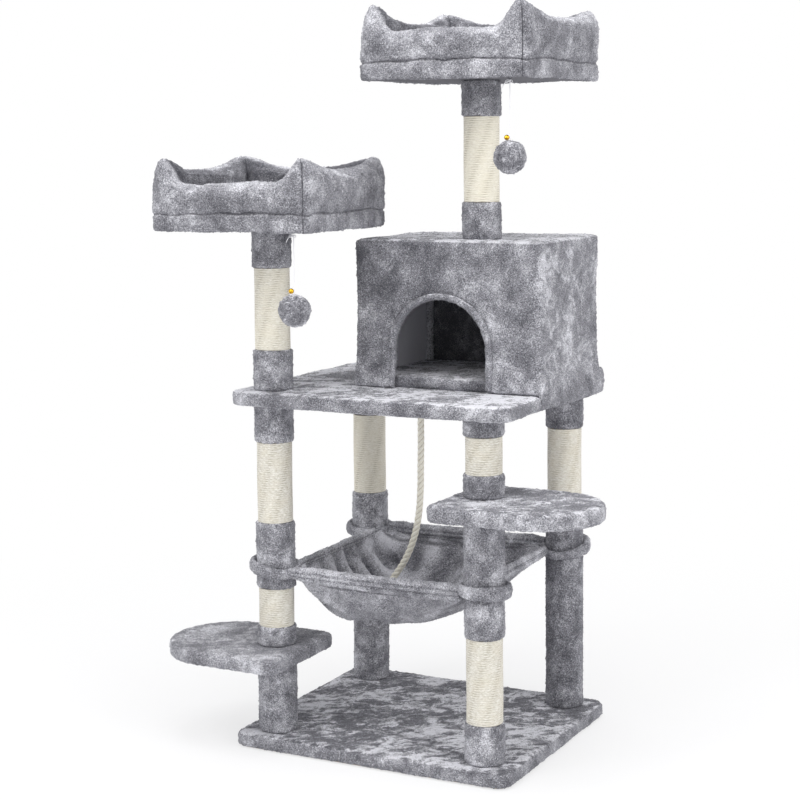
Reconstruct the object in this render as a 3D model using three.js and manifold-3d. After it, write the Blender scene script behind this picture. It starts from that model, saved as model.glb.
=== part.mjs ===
// A cat tree: a plush-covered base and deck on four posts, two half-round perches, a hammock slung
// between the posts, a condo with an arched door, two bolster beds on tall posts, a sisal rope and
// two pompom toys that swing. Millimetres, +Z up, front towards -Y, origin on the floor under the
// middle of the base.
import * as THREE from "three";
import { mergeVertices } from "three/addons/utils/BufferGeometryUtils.js";
import Module from "manifold-3d";

const wasm = await Module();
wasm.setup();

// ---------------------------------------------------------------- driving dimensions

const fit = 0.3; // clearance between pieces that touch

// Boards and their plush covers
const baseWidth = 610; // along X, over the plush
const baseDepth = 530; // along Y, over the plush
const deckWidth = 610;
const deckDepth = 530;
const panelThickness = 30; // base, deck and perches, over the plush
const coverWall = 8; // plush and its foam backing
const baseBoardThickness = 20;
const plateCorner = 28; // corner radius in plan, over the plush
const plushEdge = 7; // rounding where plush turns over an edge

// Heights of undersides above the floor
const lowerPerchHeight = 180;
const sidePerchHeight = 522;
const deckHeight = 705;
const leftBedHeight = 1063;
const rightBedHeight = 1353;

// Posts
const postSpacingX = 468;
const postSpacingY = 408;
const coreRadius = 31;
const tubeWall = 3.5;
const plugLength = 24;
const sisalRadius = 36;
const sleeveRadius = 39.5;
const sleeveRounding = 4;
const studRadius = 4;
const studEngagement = 18; // how far a stud reaches into the next post or a bolt into the first
const blindStud = 12; // how far a stud reaches into a board that it ends in
const boltHeadRadius = 7.5;
const boltHeadHeight = 5.3;
const boltRecessRadius = 11;
const boltRecessDepth = 6;

// Lengths of the wraps that are fixed; the wrap left over takes the rest of its post
const frontLeftPerchCollar = 40;
const frontLeftLowerSisal = 79;
const frontLeftHammockSleeve = 136;
const frontLeftDeckCollar = 76;
const frontRightBaseCollar = 80;
const frontRightLowerSisal = 168;
const frontRightPerchCollar = 46;
const frontRightDeckCollar = 34;
const backSleeve = 425;
const backDeckCollar = 76;
const leftBedPostFootCollar = 82;
const leftBedPostTopCollar = 81;
const rightBedPostFootCollar = 75;
const rightBedPostTopCollar = 72;

// Perches: half-round boards, flat on the side towards the middle of the tree
const perchLength = 301;
const perchWidth = 250;
const perchCorner = 24;
const perchOverlap = 65; // flat side to post axis

// Condo
const condoWidth = 412;
const condoDepth = 316;
const condoHeight = 301;
const condoCentreX = 102;
const condoCentreY = 60;
const condoWall = 15;
const condoRoof = 24;
const condoFloor = 24;
const condoCorner = 16;
const condoEdge = 5;
const condoPanelCorner = 8;
const doorWidth = 206;
const doorHeight = 186;
const doorOffset = -13; // door centre from the middle of the front
const doorRollRadius = 6;

// Beds
const leftBedSize = 354; // square in plan
const rightBedSize = 365;
const leftBedEar = 140; // height of the corners above the underside
const rightBedEar = 147;
const leftBedTurn = 1; // degrees that each bed is turned on its post
const rightBedTurn = -2;
const bedCorner = 26;
const bedBoardThickness = 17;
const bedSkirt = 9; // plush round the board's edge
const bedBandHeight = 33; // underside to the seam under the bolster
const bedFloor = 44; // underside to the sleeping pad
const bedWallThickness = 40;
const bedFrontWall = 97; // heights above the underside, midway between corners
const bedSideWall = 122;
const frontEarReach = 56; // how far the front corners' ears reach along the wall
const rightBedPostAside = 46; // from the condo's middle
const rightBedPostInset = 76; // from the condo's front

// Hammock
const hammockHeight = 371; // centre of its rolled edge
const hammockRoll = 17; // radius of the rolled front and back edges
const hammockSideRoll = 12;
const hammockLoopBand = 15; // how far a loop stands out from its post
const hammockLoopHeight = 38;
const hammockSag = 125;
const hammockLowX = -69; // where the cloth hangs lowest
const hammockCloth = 7;
const hammockLeftFullness = 4.5; // 2 is a parabola; more makes a flatter floor and steeper sides
const hammockRightFullness = 2.7;
const hammockRailFullness = 4;
const hammockFrontSag = 16;
const hammockBackRise = 4;
const hammockSideSag = 5;
const hammockRailInset = 6; // how far the front and back edges lie inside the line of the posts
const hammockSideInset = 29; // and the left and right edges

// Rope
const ropeRadius = 7;
const ropeSocketDepth = 12;

// Toys
const toyOffsetX = 130; // from a bed's centre
const toyOffsetY = -138;
const eyeRadius = 4;
const eyeWire = 0.9;
const knotRadius = 3.2;
const stringRadius = 0.9;
const stringLength = 108;
const pompomRadius = 32;
const bellRadius = 5.5;

// ---------------------------------------------------------------- derived places

const postX = postSpacingX / 2;
const postY = postSpacingY / 2;
const studHole = studRadius + fit;
const baseTop = panelThickness;
const deckTop = deckHeight + panelThickness;
const boardThickness = panelThickness - 2 * coverWall;
const condoTop = deckTop + fit + condoHeight;
const hammockSideX = postX - hammockSideInset;
const hammockRailY = postY - hammockRailInset;
const rightBedPostX = condoCentreX + rightBedPostAside;
const rightBedPostY = condoCentreY - condoDepth / 2 + rightBedPostInset;
const throughStud = panelThickness + studEngagement;
const boreSides = 8; // holes have few sides, because nothing shows in them
const roundSegments = 16; // every round of a post shares these, so that walls stay parallel

// ---------------------------------------------------------------- materials

function finish(color, roughness, metalness = 0) {
  return new THREE.MeshStandardMaterial({ color, roughness, metalness });
}
const plush = finish(0x8f8f95, 0.95);
const sisal = finish(0xd9d2bd, 0.9);
const cardboard = finish(0xb08d63, 0.9);
const particleBoard = finish(0xc2a679, 0.85);
const cord = finish(0xe9e6dc, 0.8);
const brass = finish(0xd6a33a, 0.3, 1);

// ---------------------------------------------------------------- solids

// A closed geometry as a manifold solid.
function solid(geometry) {
  const bare = geometry.clone();
  bare.deleteAttribute("normal");
  bare.deleteAttribute("uv");
  const merged = mergeVertices(bare, 1e-4);
  const triVerts = new Uint32Array(merged.index.array);
  const vertProperties = new Float32Array(merged.attributes.position.array);
  const made = new wasm.Manifold(new wasm.Mesh({ numProp: 3, vertProperties, triVerts }));
  if (made.volume() > 0) return made;
  for (let i = 0; i < triVerts.length; i += 3) {
    [triVerts[i + 1], triVerts[i + 2]] = [triVerts[i + 2], triVerts[i + 1]];
  }
  return new wasm.Manifold(new wasm.Mesh({ numProp: 3, vertProperties, triVerts }));
}

function union(first, ...rest) {
  return rest.reduce((sum, next) => sum.add(next), first);
}

function cut(first, ...rest) {
  return rest.reduce((left, next) => left.subtract(next), first);
}

// A solid back as a mesh of its own, named and placed.
function piece(name, body, material, place = [0, 0, 0]) {
  const { vertProperties, triVerts, numProp } = body.getMesh();
  const position = new Float32Array((vertProperties.length / numProp) * 3);
  for (let i = 0; i < position.length / 3; i++) {
    position.set(vertProperties.subarray(i * numProp, i * numProp + 3), i * 3);
  }
  const geometry = new THREE.BufferGeometry();
  geometry.setAttribute("position", new THREE.BufferAttribute(position, 3));
  geometry.setIndex(new THREE.BufferAttribute(new Uint32Array(triVerts), 1));
  geometry.computeVertexNormals();
  const mesh = new THREE.Mesh(geometry, material);
  mesh.name = name;
  mesh.position.set(...place);
  return mesh;
}

// A revolved profile of [radius, height] pairs.
function revolve(profile, segments = roundSegments) {
  const points = profile.map(([r, z]) => new THREE.Vector2(r, z));
  return solid(new THREE.LatheGeometry(points, segments).rotateX(Math.PI / 2));
}

function rod(radius, from, to, segments = 12) {
  return revolve([[0, from], [radius, from], [radius, to], [0, to]], segments);
}

// A hole, with few sides, that a round of some radius just clears.
function bore(radius, from, to) {
  return rod(radius / Math.cos(Math.PI / boreSides), from, to, boreSides);
}

// A rectangle with rounded corners, centred on the origin.
function roundedRectangle(width, depth, radius) {
  const x = width / 2 - radius;
  const y = depth / 2 - radius;
  const shape = new THREE.Shape();
  shape.moveTo(-x, -y - radius);
  shape.lineTo(x, -y - radius);
  shape.absarc(x, -y, radius, -Math.PI / 2, 0, false);
  shape.absarc(x, y, radius, 0, Math.PI / 2, false);
  shape.absarc(-x, y, radius, Math.PI / 2, Math.PI, false);
  shape.absarc(-x, -y, radius, Math.PI, 1.5 * Math.PI, false);
  shape.closePath();
  return shape;
}

// An outline raised from z = 0 to its thickness, with its top and bottom edges rounded.
function slab(shape, thickness, edge = 0, curveSegments = 2, bevelSegments = 2) {
  return solid(new THREE.ExtrudeGeometry(shape, {
    depth: thickness - 2 * edge,
    bevelEnabled: edge > 0,
    bevelThickness: edge,
    bevelSize: edge,
    bevelOffset: -edge,
    bevelSegments,
    curveSegments,
  }).translate(0, 0, edge));
}

// A round bar along a path.
function bar(path, radius, sides, steps) {
  const section = new THREE.Shape();
  section.absarc(0, 0, radius, 0, 2 * Math.PI, false);
  return new THREE.ExtrudeGeometry(section, {
    extrudePath: path,
    steps,
    curveSegments: sides / 2,
    bevelEnabled: false,
  });
}

// A bolt standing up through z = 0, its hexagon head below.
function bolt(headSeat, tip) {
  return union(
    rod(boltHeadRadius, headSeat - boltHeadHeight, headSeat + 0.01, 6),
    rod(studRadius, headSeat, tip, 8),
  );
}

// ---------------------------------------------------------------- posts

// A cardboard tube with a plug in each end: a socket below, a threaded stud above.
function postCore(length, stud) {
  const bore = coreRadius - tubeWall;
  return revolve([
    [0, length + stud],
    [studRadius, length + stud],
    [studRadius, length],
    [coreRadius, length],
    [coreRadius, 0],
    [studHole, 0],
    [studHole, plugLength],
    [bore, plugLength],
    [bore, length - plugLength],
    [0, length - plugLength],
  ]);
}

function sisalWrap(length) {
  const inner = coreRadius + fit;
  return revolve([[inner, 0], [sisalRadius, 0], [sisalRadius, length], [inner, length], [inner, 0]]);
}

function plushSleeve(length) {
  const inner = coreRadius + fit;
  const shoulder = sleeveRadius - sleeveRounding;
  return revolve([
    [inner, 0],
    [shoulder, 0],
    [sleeveRadius, sleeveRounding],
    [sleeveRadius, length - sleeveRounding],
    [shoulder, length],
    [inner, length],
    [inner, 0],
  ]);
}

// One post between two heights. Its wraps are [name, kind, length] from the bottom up; the one with
// no length takes what the others leave.
function post(name, from, to, stud, wraps) {
  const group = new THREE.Group();
  const length = to - from - 2 * fit;
  const fixed = wraps.reduce((sum, [, , size]) => sum + (size ?? 0), 0);
  group.add(piece(`${name}_core`, postCore(length, stud), cardboard, [0, 0, from + fit]));
  let z = from;
  for (const [wrapName, wrap, size] of wraps) {
    const zone = size ?? to - from - fixed;
    const inner = wrap === "sisal" ? sisalWrap(zone - 2 * fit) : plushSleeve(zone - 2 * fit);
    group.add(piece(wrapName, inner, wrap === "sisal" ? sisal : plush, [0, 0, z + fit]));
    z += zone;
  }
  return group;
}

function placedPost(x, y, ...details) {
  const group = post(...details);
  group.position.set(x, y, 0);
  return group;
}

function posts() {
  const group = new THREE.Group();
  const lowerPerchTop = lowerPerchHeight + panelThickness;
  const sidePerchTop = sidePerchHeight + panelThickness;
  const deckStud = coverWall + blindStud;
  group.add(placedPost(-postX, -postY, "front_left_lower_post", baseTop, lowerPerchHeight, throughStud, [
    ["front_left_lower_sleeve", "plush"],
  ]));
  group.add(placedPost(-postX, -postY, "front_left_middle_post", lowerPerchTop, deckHeight, throughStud, [
    ["front_left_perch_collar", "plush", frontLeftPerchCollar],
    ["front_left_lower_sisal", "sisal", frontLeftLowerSisal],
    ["front_left_hammock_sleeve", "plush", frontLeftHammockSleeve],
    ["front_left_upper_sisal", "sisal"],
    ["front_left_deck_collar", "plush", frontLeftDeckCollar],
  ]));
  group.add(placedPost(-postX, -postY, "left_bed_post", deckTop, leftBedHeight, blindStud, [
    ["left_bed_post_foot_collar", "plush", leftBedPostFootCollar],
    ["left_bed_post_sisal", "sisal"],
    ["left_bed_post_top_collar", "plush", leftBedPostTopCollar],
  ]));
  group.add(placedPost(postX, -postY, "front_right_lower_post", baseTop, sidePerchHeight, throughStud, [
    ["front_right_base_collar", "plush", frontRightBaseCollar],
    ["front_right_lower_sisal", "sisal", frontRightLowerSisal],
    ["front_right_hammock_sleeve", "plush"],
  ]));
  group.add(placedPost(postX, -postY, "front_right_upper_post", sidePerchTop, deckHeight, deckStud, [
    ["front_right_perch_collar", "plush", frontRightPerchCollar],
    ["front_right_upper_sisal", "sisal"],
    ["front_right_deck_collar", "plush", frontRightDeckCollar],
  ]));
  for (const [side, x] of [["back_left", -postX], ["back_right", postX]]) {
    group.add(placedPost(x, postY, `${side}_post`, baseTop, deckHeight, deckStud, [
      [`${side}_sleeve`, "plush", backSleeve],
      [`${side}_sisal`, "sisal"],
      [`${side}_deck_collar`, "plush", backDeckCollar],
    ]));
  }
  group.add(placedPost(rightBedPostX, rightBedPostY, "right_bed_post", condoTop, rightBedHeight, blindStud, [
    ["right_bed_post_foot_collar", "plush", rightBedPostFootCollar],
    ["right_bed_post_sisal", "sisal"],
    ["right_bed_post_top_collar", "plush", rightBedPostTopCollar],
  ]));
  return group;
}

// ---------------------------------------------------------------- base, deck and perches

const postPlaces = [[-postX, -postY], [postX, -postY], [-postX, postY], [postX, postY]];

// The base board stands on the floor with a bolt up into each post, its head sunk in the underside.
function baseBoard() {
  const inset = 2 * (coverWall + fit);
  const outline = roundedRectangle(baseWidth - inset, baseDepth - inset, plateCorner - coverWall);
  const board = slab(outline, baseBoardThickness);
  const tip = baseTop + studEngagement;
  const recesses = postPlaces.map(([x, y]) => bore(boltRecessRadius, -1, boltRecessDepth).translate(x, y, 0));
  const bolts = postPlaces.map(([x, y]) => bolt(boltRecessDepth, tip).translate(x, y, 0));
  return union(cut(board, ...recesses), ...bolts);
}

// Plush over the base board's top and edges, open underneath.
function baseCover() {
  const outside = slab(roundedRectangle(baseWidth, baseDepth, plateCorner), panelThickness, plushEdge);
  const inset = 2 * coverWall;
  const inside = slab(
    roundedRectangle(baseWidth - inset, baseDepth - inset, plateCorner - coverWall + fit),
    baseBoardThickness + fit + 1,
  ).translate(0, 0, -1);
  const holes = postPlaces.map(([x, y]) => bore(studHole, 0, panelThickness + 1).translate(x, y, 0));
  return cut(outside, inside, ...holes);
}

// A board inside its plush cover. Studs pass right through, or end in the board.
function coveredBoard(name, outline, innerOutline, cavityOutline, through, blind, extra = [], arcs = 2) {
  const boardZ = coverWall + fit;
  const board = slab(innerOutline, boardThickness - 2 * fit, 0, arcs).translate(0, 0, boardZ);
  const cavity = slab(cavityOutline, boardThickness, 0, arcs).translate(0, 0, coverWall);
  const cuts = [
    ...through.map(([x, y]) => bore(studHole, -1, panelThickness + 1).translate(x, y, 0)),
    ...blind.map(([x, y]) => bore(studHole, -1, coverWall + blindStud + fit).translate(x, y, 0)),
    ...extra,
  ];
  const cover = slab(outline, panelThickness, plushEdge, arcs);
  return [
    piece(`${name}_board`, cut(board, ...cuts), particleBoard),
    piece(`${name}_cover`, cut(cover, cavity, ...cuts), plush),
  ];
}

function deck() {
  const group = new THREE.Group();
  const inset = 2 * coverWall;
  const ropeSocket = bore(ropeRadius + fit, -1, coverWall + ropeSocketDepth);
  group.add(...coveredBoard(
    "deck",
    roundedRectangle(deckWidth, deckDepth, plateCorner),
    roundedRectangle(deckWidth - inset - 2 * fit, deckDepth - inset - 2 * fit, plateCorner - coverWall),
    roundedRectangle(deckWidth - inset, deckDepth - inset, plateCorner - coverWall + fit),
    [postPlaces[0]],
    postPlaces.slice(1),
    [ropeSocket.translate(ropeRoute[0][0], ropeRoute[0][1], 0)],
  ));
  group.position.z = deckHeight;
  return group;
}

// A half-round outline: flat side at x = 0, round end at +X, grown outwards by some amount.
function perchOutline(grow) {
  const radius = perchWidth / 2 + grow;
  const corner = perchCorner + grow;
  const flat = -grow;
  const shape = new THREE.Shape();
  shape.moveTo(flat + corner, -radius);
  shape.absarc(perchLength - perchWidth / 2, 0, radius, -Math.PI / 2, 0, false);
  shape.absarc(perchLength - perchWidth / 2, 0, radius, 0, Math.PI / 2, false);
  shape.absarc(flat + corner, radius - corner, corner, Math.PI / 2, Math.PI, false);
  shape.absarc(flat + corner, corner - radius, corner, Math.PI, 1.5 * Math.PI, false);
  shape.closePath();
  return shape;
}

// The side that the round end points to is +1 for +X and -1 for -X.
function perch(name, side, height) {
  const group = new THREE.Group();
  group.add(...coveredBoard(
    name,
    perchOutline(0),
    perchOutline(-coverWall - fit),
    perchOutline(-coverWall),
    [[perchOverlap, 0]],
    [],
    [],
    3,
  ));
  group.rotation.z = side > 0 ? 0 : Math.PI;
  group.position.set(side * (postX - perchOverlap), -postY, height);
  return group;
}

// ---------------------------------------------------------------- condo

// An outline drawn in X and Z, raised backwards along +Y from y = 0.
function upright(shape, thickness, edge) {
  return slab(shape, thickness, edge, 2, 1).rotate([90, 0, 0]).translate(0, thickness, 0);
}

// A doorway's path from the floor up one side, over the arch and down the other.
function doorPath(halfWidth, top, foot) {
  const path = new THREE.CurvePath();
  const spring = top - halfWidth;
  const at = (x, z) => new THREE.Vector3(x, 0, z);
  path.add(new THREE.LineCurve3(at(halfWidth, foot), at(halfWidth, spring)));
  path.add(new ArchCurve(halfWidth, spring));
  path.add(new THREE.LineCurve3(at(-halfWidth, spring), at(-halfWidth, foot)));
  return path;
}

class ArchCurve extends THREE.Curve {
  constructor(radius, spring) {
    super();
    this.radius = radius;
    this.spring = spring;
  }
  getPoint(t, target = new THREE.Vector3()) {
    const angle = Math.PI * t;
    return target.set(this.radius * Math.cos(angle), 0, this.spring + this.radius * Math.sin(angle));
  }
}

function condoFront(wallHeight) {
  const half = doorWidth / 2;
  const shape = roundedRectangle(condoWidth, wallHeight, condoPanelCorner);
  const panel = upright(shape, condoWall, condoEdge).translate(0, 0, wallHeight / 2);
  const doorway = new THREE.Shape();
  doorway.moveTo(-half, -1);
  doorway.lineTo(half, -1);
  doorway.lineTo(half, doorHeight - half);
  doorway.absarc(0, doorHeight - half, half, 0, Math.PI, false);
  doorway.closePath();
  const through = slab(doorway, 3 * condoWall, 0, 8).rotate([90, 0, 0]).translate(0, 2 * condoWall, 0);
  const opening = through.translate(doorOffset, 0, 0);
  const rollPath = doorPath(half + doorRollRadius / 2, doorHeight + doorRollRadius / 2, doorRollRadius);
  const roll = solid(bar(rollPath, doorRollRadius, 8, 20)).translate(doorOffset, doorRollRadius - 1, 0);
  return union(cut(panel, opening), roll);
}

function condo() {
  const group = new THREE.Group();
  const wallHeight = condoHeight - condoRoof - 2 * fit;
  const sideLength = condoDepth - 2 * (condoWall + fit);
  const plain = (width) => {
    const shape = roundedRectangle(width, wallHeight, condoPanelCorner);
    return upright(shape, condoWall, condoEdge).translate(0, 0, wallHeight / 2);
  };
  const front = -condoDepth / 2;
  const side = condoWidth / 2;
  const floorWidth = condoWidth - 2 * (condoWall + fit);
  group.add(piece("condo_front", condoFront(wallHeight), plush, [0, front, 0]));
  group.add(piece("condo_back", plain(condoWidth), plush, [0, -front - condoWall, 0]));
  for (const [name, x] of [["condo_left", -side], ["condo_right", side - condoWall]]) {
    const panel = plain(sideLength).rotate([0, 0, 90]);
    group.add(piece(name, panel, plush, [x + condoWall, 0, 0]));
  }
  const floor = slab(roundedRectangle(floorWidth, sideLength, condoPanelCorner), condoFloor, condoEdge, 2, 1);
  group.add(piece("condo_floor", floor, plush));
  group.add(piece("condo_roof", condoRoofPanel(), plush, [0, 0, wallHeight + fit]));
  group.position.set(condoCentreX, condoCentreY, deckTop + fit);
  return group;
}

// The roof carries the right bed's post on a bolt from inside.
function condoRoofPanel() {
  const panel = slab(roundedRectangle(condoWidth, condoDepth, condoCorner), condoRoof, plushEdge);
  const x = rightBedPostAside;
  const y = rightBedPostInset - condoDepth / 2;
  const recess = bore(boltRecessRadius, -1, boltRecessDepth).translate(x, y, 0);
  const screw = bolt(boltRecessDepth, condoRoof + studEngagement).translate(x, y, 0);
  return union(cut(panel, recess), screw);
}

// ---------------------------------------------------------------- beds

// Points round a rounded square, the same number on every ring, each with its side and its
// distance along that side from the nearer corner's arc.
function bedRing(size, inset) {
  const cornerSteps = 3;
  const radius = Math.max(bedCorner - inset, 3);
  const reach = size / 2 - inset - radius;
  const corners = [[reach, -reach, -90], [reach, reach, 0], [-reach, reach, 90], [-reach, -reach, 180]];
  const ring = [];
  corners.forEach(([cx, cy, start], index) => {
    for (let i = 0; i <= cornerSteps; i++) {
      const angle = THREE.MathUtils.degToRad(start + (90 * i) / cornerSteps);
      const front = (index === 0 && i <= cornerSteps / 2) || (index === 3 && i >= cornerSteps / 2);
      ring.push({ x: cx + radius * Math.cos(angle), y: cy + radius * Math.sin(angle), front, along: 0 });
    }
    const from = ring[ring.length - 1];
    const [nx, ny, nextStart] = corners[(index + 1) % 4];
    const nextAngle = THREE.MathUtils.degToRad(nextStart);
    const to = { x: nx + radius * Math.cos(nextAngle), y: ny + radius * Math.sin(nextAngle) };
    const side = 2 * reach;
    const ear = frontEarReach - bedCorner;
    for (const along of [ear / 2, ear, side / 4, side / 2, (3 * side) / 4, side - ear, side - ear / 2]) {
      ring.push({
        x: THREE.MathUtils.lerp(from.x, to.x, along / side),
        y: THREE.MathUtils.lerp(from.y, to.y, along / side),
        front: index === 3,
        along: Math.min(along, side - along) / side,
      });
    }
  });
  return ring;
}

// How high the wall stands at a point of the ring: ears at the corners, lower between them.
function bedWallTop(size, ear, { front, along }) {
  if (front) {
    const reach = (frontEarReach - bedCorner) / (size - 2 * bedCorner);
    return THREE.MathUtils.lerp(ear, bedFrontWall, THREE.MathUtils.smoothstep(along, 0, reach));
  }
  return THREE.MathUtils.lerp(bedSideWall, ear, (1 - 2 * along) ** 2);
}

// The bolster: a filled wall all round a sleeping pad, with a skirt down over the board's edge.
function bedBolster(size, ear) {
  const wall = bedWallThickness;
  const levels = [
    [6, () => 0],
    [0, () => 5],
    [0, () => bedBandHeight - 3],
    [2.5, () => bedBandHeight],
    [-1.5, (top) => THREE.MathUtils.lerp(bedBandHeight, top, 0.55)],
    [4, (top) => top - 14],
    [wall * 0.4, (top) => top],
    [wall * 0.7, (top) => top - 5],
    [wall, (top) => top - 24],
    [wall + 3, () => bedFloor + 8],
    [wall + 14, () => bedFloor],
  ];
  const rings = levels.map(([inset, height]) => bedRing(size, inset).map((point) => (
    [point.x, point.y, height(bedWallTop(size, ear, point))]
  )));
  return cut(ringSolid(rings, [0, 0, 0], [0, 0, bedFloor + 3]), bedBoardSpace(size));
}

// A closed solid from rings of as many points each, with a point to close it below and above.
function ringSolid(rings, below, above) {
  const count = rings[0].length;
  const vertices = [...rings.flat(), below, above];
  const index = [];
  const [bottom, top] = [vertices.length - 2, vertices.length - 1];
  for (let i = 0; i < count; i++) {
    const j = (i + 1) % count;
    index.push(bottom, j, i);
    for (let k = 0; k + 1 < rings.length; k++) {
      const [a, b] = [k * count + i, k * count + j];
      index.push(a, b, b + count, a, b + count, a + count);
    }
    const last = (rings.length - 1) * count;
    index.push(last + i, last + j, top);
  }
  const geometry = new THREE.BufferGeometry();
  geometry.setAttribute("position", new THREE.Float32BufferAttribute(vertices.flat(), 3));
  geometry.setIndex(index);
  return solid(geometry);
}

function bedBoardSpace(size) {
  const side = size - 2 * bedSkirt;
  return slab(
    roundedRectangle(side, side, bedCorner - bedSkirt),
    bedBoardThickness + fit + 1,
  ).translate(0, 0, -1);
}

// The board under a bed, with the post's stud hole and the wire eye that a toy hangs on.
function bedBoard(size) {
  const side = size - 2 * (bedSkirt + fit);
  const outline = roundedRectangle(side, side, bedCorner - bedSkirt - fit);
  const board = slab(outline, bedBoardThickness);
  const eye = new ArchCurve(eyeRadius, 0);
  const hanging = solid(bar(eye, eyeWire, 6, 8)).rotate([180, 0, 0]);
  const wire = hanging.translate(toyOffsetX, toyOffsetY, eyeWire / 2);
  return union(cut(board, bore(studHole, -1, blindStud + fit)), wire);
}

// A bed on its post, with the toy that hangs under it.
function bed(side, x, y, height, size, ear, turn) {
  const group = new THREE.Group();
  group.add(piece(`${side}_bed_board`, bedBoard(size), particleBoard));
  group.add(piece(`${side}_bed_bolster`, bedBolster(size, ear), plush));
  group.add(toy(`${side}_toy`));
  group.rotation.z = THREE.MathUtils.degToRad(turn);
  group.position.set(x, y, height);
  return group;
}

// ---------------------------------------------------------------- hammock

// The cloth hangs between its four edges like a bowl that is steeper on its left; the front edge
// sags between its loops and the back edge stands a little above them.
function hammockDrop(x, y) {
  const left = x < hammockLowX;
  const reach = hammockSideX + (left ? hammockLowX : -hammockLowX);
  const u = Math.abs((x - hammockLowX) / reach) ** (left ? hammockLeftFullness : hammockRightFullness);
  const v = Math.abs(y / hammockRailY) ** hammockRailFullness;
  const rail = (y < 0 ? hammockFrontSag : -hammockBackRise) * (1 - (x / postX) ** 4);
  return rail * v + (hammockSag * (1 - u) + hammockSideSag * u) * (1 - v);
}

function hammockCloth3d() {
  const [columns, rows] = [13, 10];
  const vertices = [];
  const index = [];
  for (const side of [1, -1]) {
    for (let j = 0; j <= rows; j++) {
      for (let i = 0; i <= columns; i++) {
        const x = THREE.MathUtils.lerp(-hammockSideX, hammockSideX, i / columns);
        const y = THREE.MathUtils.lerp(-hammockRailY, hammockRailY, j / rows);
        vertices.push(x, y, -hammockDrop(x, y) + (side * hammockCloth) / 2);
      }
    }
  }
  const stride = columns + 1;
  const layer = stride * (rows + 1);
  for (let j = 0; j < rows; j++) {
    for (let i = 0; i < columns; i++) {
      const a = j * stride + i;
      const [b, c, d] = [a + 1, a + stride, a + stride + 1];
      index.push(a, b, d, a, d, c);
      index.push(layer + a, layer + d, layer + b, layer + a, layer + c, layer + d);
    }
  }
  const edge = [];
  for (let i = 0; i < columns; i++) edge.push(i);
  for (let j = 0; j < rows; j++) edge.push(j * stride + columns);
  for (let i = columns; i > 0; i--) edge.push(rows * stride + i);
  for (let j = rows; j > 0; j--) edge.push(j * stride);
  edge.forEach((a, k) => {
    const b = edge[(k + 1) % edge.length];
    index.push(a, layer + a, layer + b, a, layer + b, b);
  });
  const geometry = new THREE.BufferGeometry();
  geometry.setAttribute("position", new THREE.Float32BufferAttribute(vertices, 3));
  geometry.setIndex(index);
  return solid(geometry);
}

// A rolled edge from one loop to the next, following the edge of the cloth.
class RolledEdge extends THREE.Curve {
  constructor(axis, side, reach) {
    super();
    Object.assign(this, { axis, side, reach });
  }
  getPoint(t, target = new THREE.Vector3()) {
    const along = THREE.MathUtils.lerp(-this.reach, this.reach, t);
    const x = this.axis === "x" ? along : this.side * hammockSideX;
    const y = this.axis === "x" ? this.side * hammockRailY : along;
    return target.set(x, y, -hammockDrop(x, y));
  }
}

// A padded band round a post, rounded at its top and bottom edges.
function hammockLoop(seat) {
  const outer = seat + hammockLoopBand;
  const half = hammockLoopHeight / 2;
  const rounding = hammockLoopBand / 3;
  return revolve([
    [seat, -half + rounding],
    [seat + rounding, -half],
    [outer, -half + 2 * rounding],
    [outer, half - 2 * rounding],
    [seat + rounding, half],
    [seat, half - rounding],
    [seat, -half + rounding],
  ]);
}

function hammock() {
  const seat = sleeveRadius + fit / Math.cos(Math.PI / roundSegments);
  const middle = seat + hammockLoopBand / 2;
  const loops = postPlaces.map(([x, y]) => hammockLoop(seat).translate(x, y, 0));
  const sideEnd = Math.sqrt(middle ** 2 - hammockSideInset ** 2);
  const rolls = [-1, 1].flatMap((side) => [
    solid(bar(new RolledEdge("x", side, postX - middle), hammockRoll, 8, 5)),
    solid(bar(new RolledEdge("y", side, postY - sideEnd), hammockSideRoll, 8, 5)),
  ]);
  const bores = postPlaces.map(([x, y]) => (
    rod(seat, -hammockSag, hammockSag, roundSegments).translate(x, y, 0)
  ));
  const body = cut(union(hammockCloth3d(), ...rolls, ...loops), ...bores);
  return piece("hammock", body, plush, [0, 0, hammockHeight]);
}

// ---------------------------------------------------------------- rope

// The rope's centreline below the deck: down, then aside into the hammock, where its end lies.
const ropeRoute = [
  [-3, 0, 705],
  [-3, 0, 660],
  [-3, 0, 610],
  [-4, 0, 560],
  [-5, 0, 510],
  [-10, 0, 455],
  [-22, 0, 405],
  [-42, 1, 360],
  [-66, 3, 325],
  [-87, 2, 296],
  [-104, -4, 274],
  [-114, -20, 263],
  [-112, -42, 259.5],
  [-98, -60, 258.5],
];

function rope() {
  const points = ropeRoute.map(([x, y, z]) => new THREE.Vector3(x, y, z));
  const path = new THREE.CatmullRomCurve3(points, false, "centripetal");
  return piece("rope", solid(bar(path, ropeRadius, 8, 24)), cord);
}

// ---------------------------------------------------------------- toys

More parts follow.
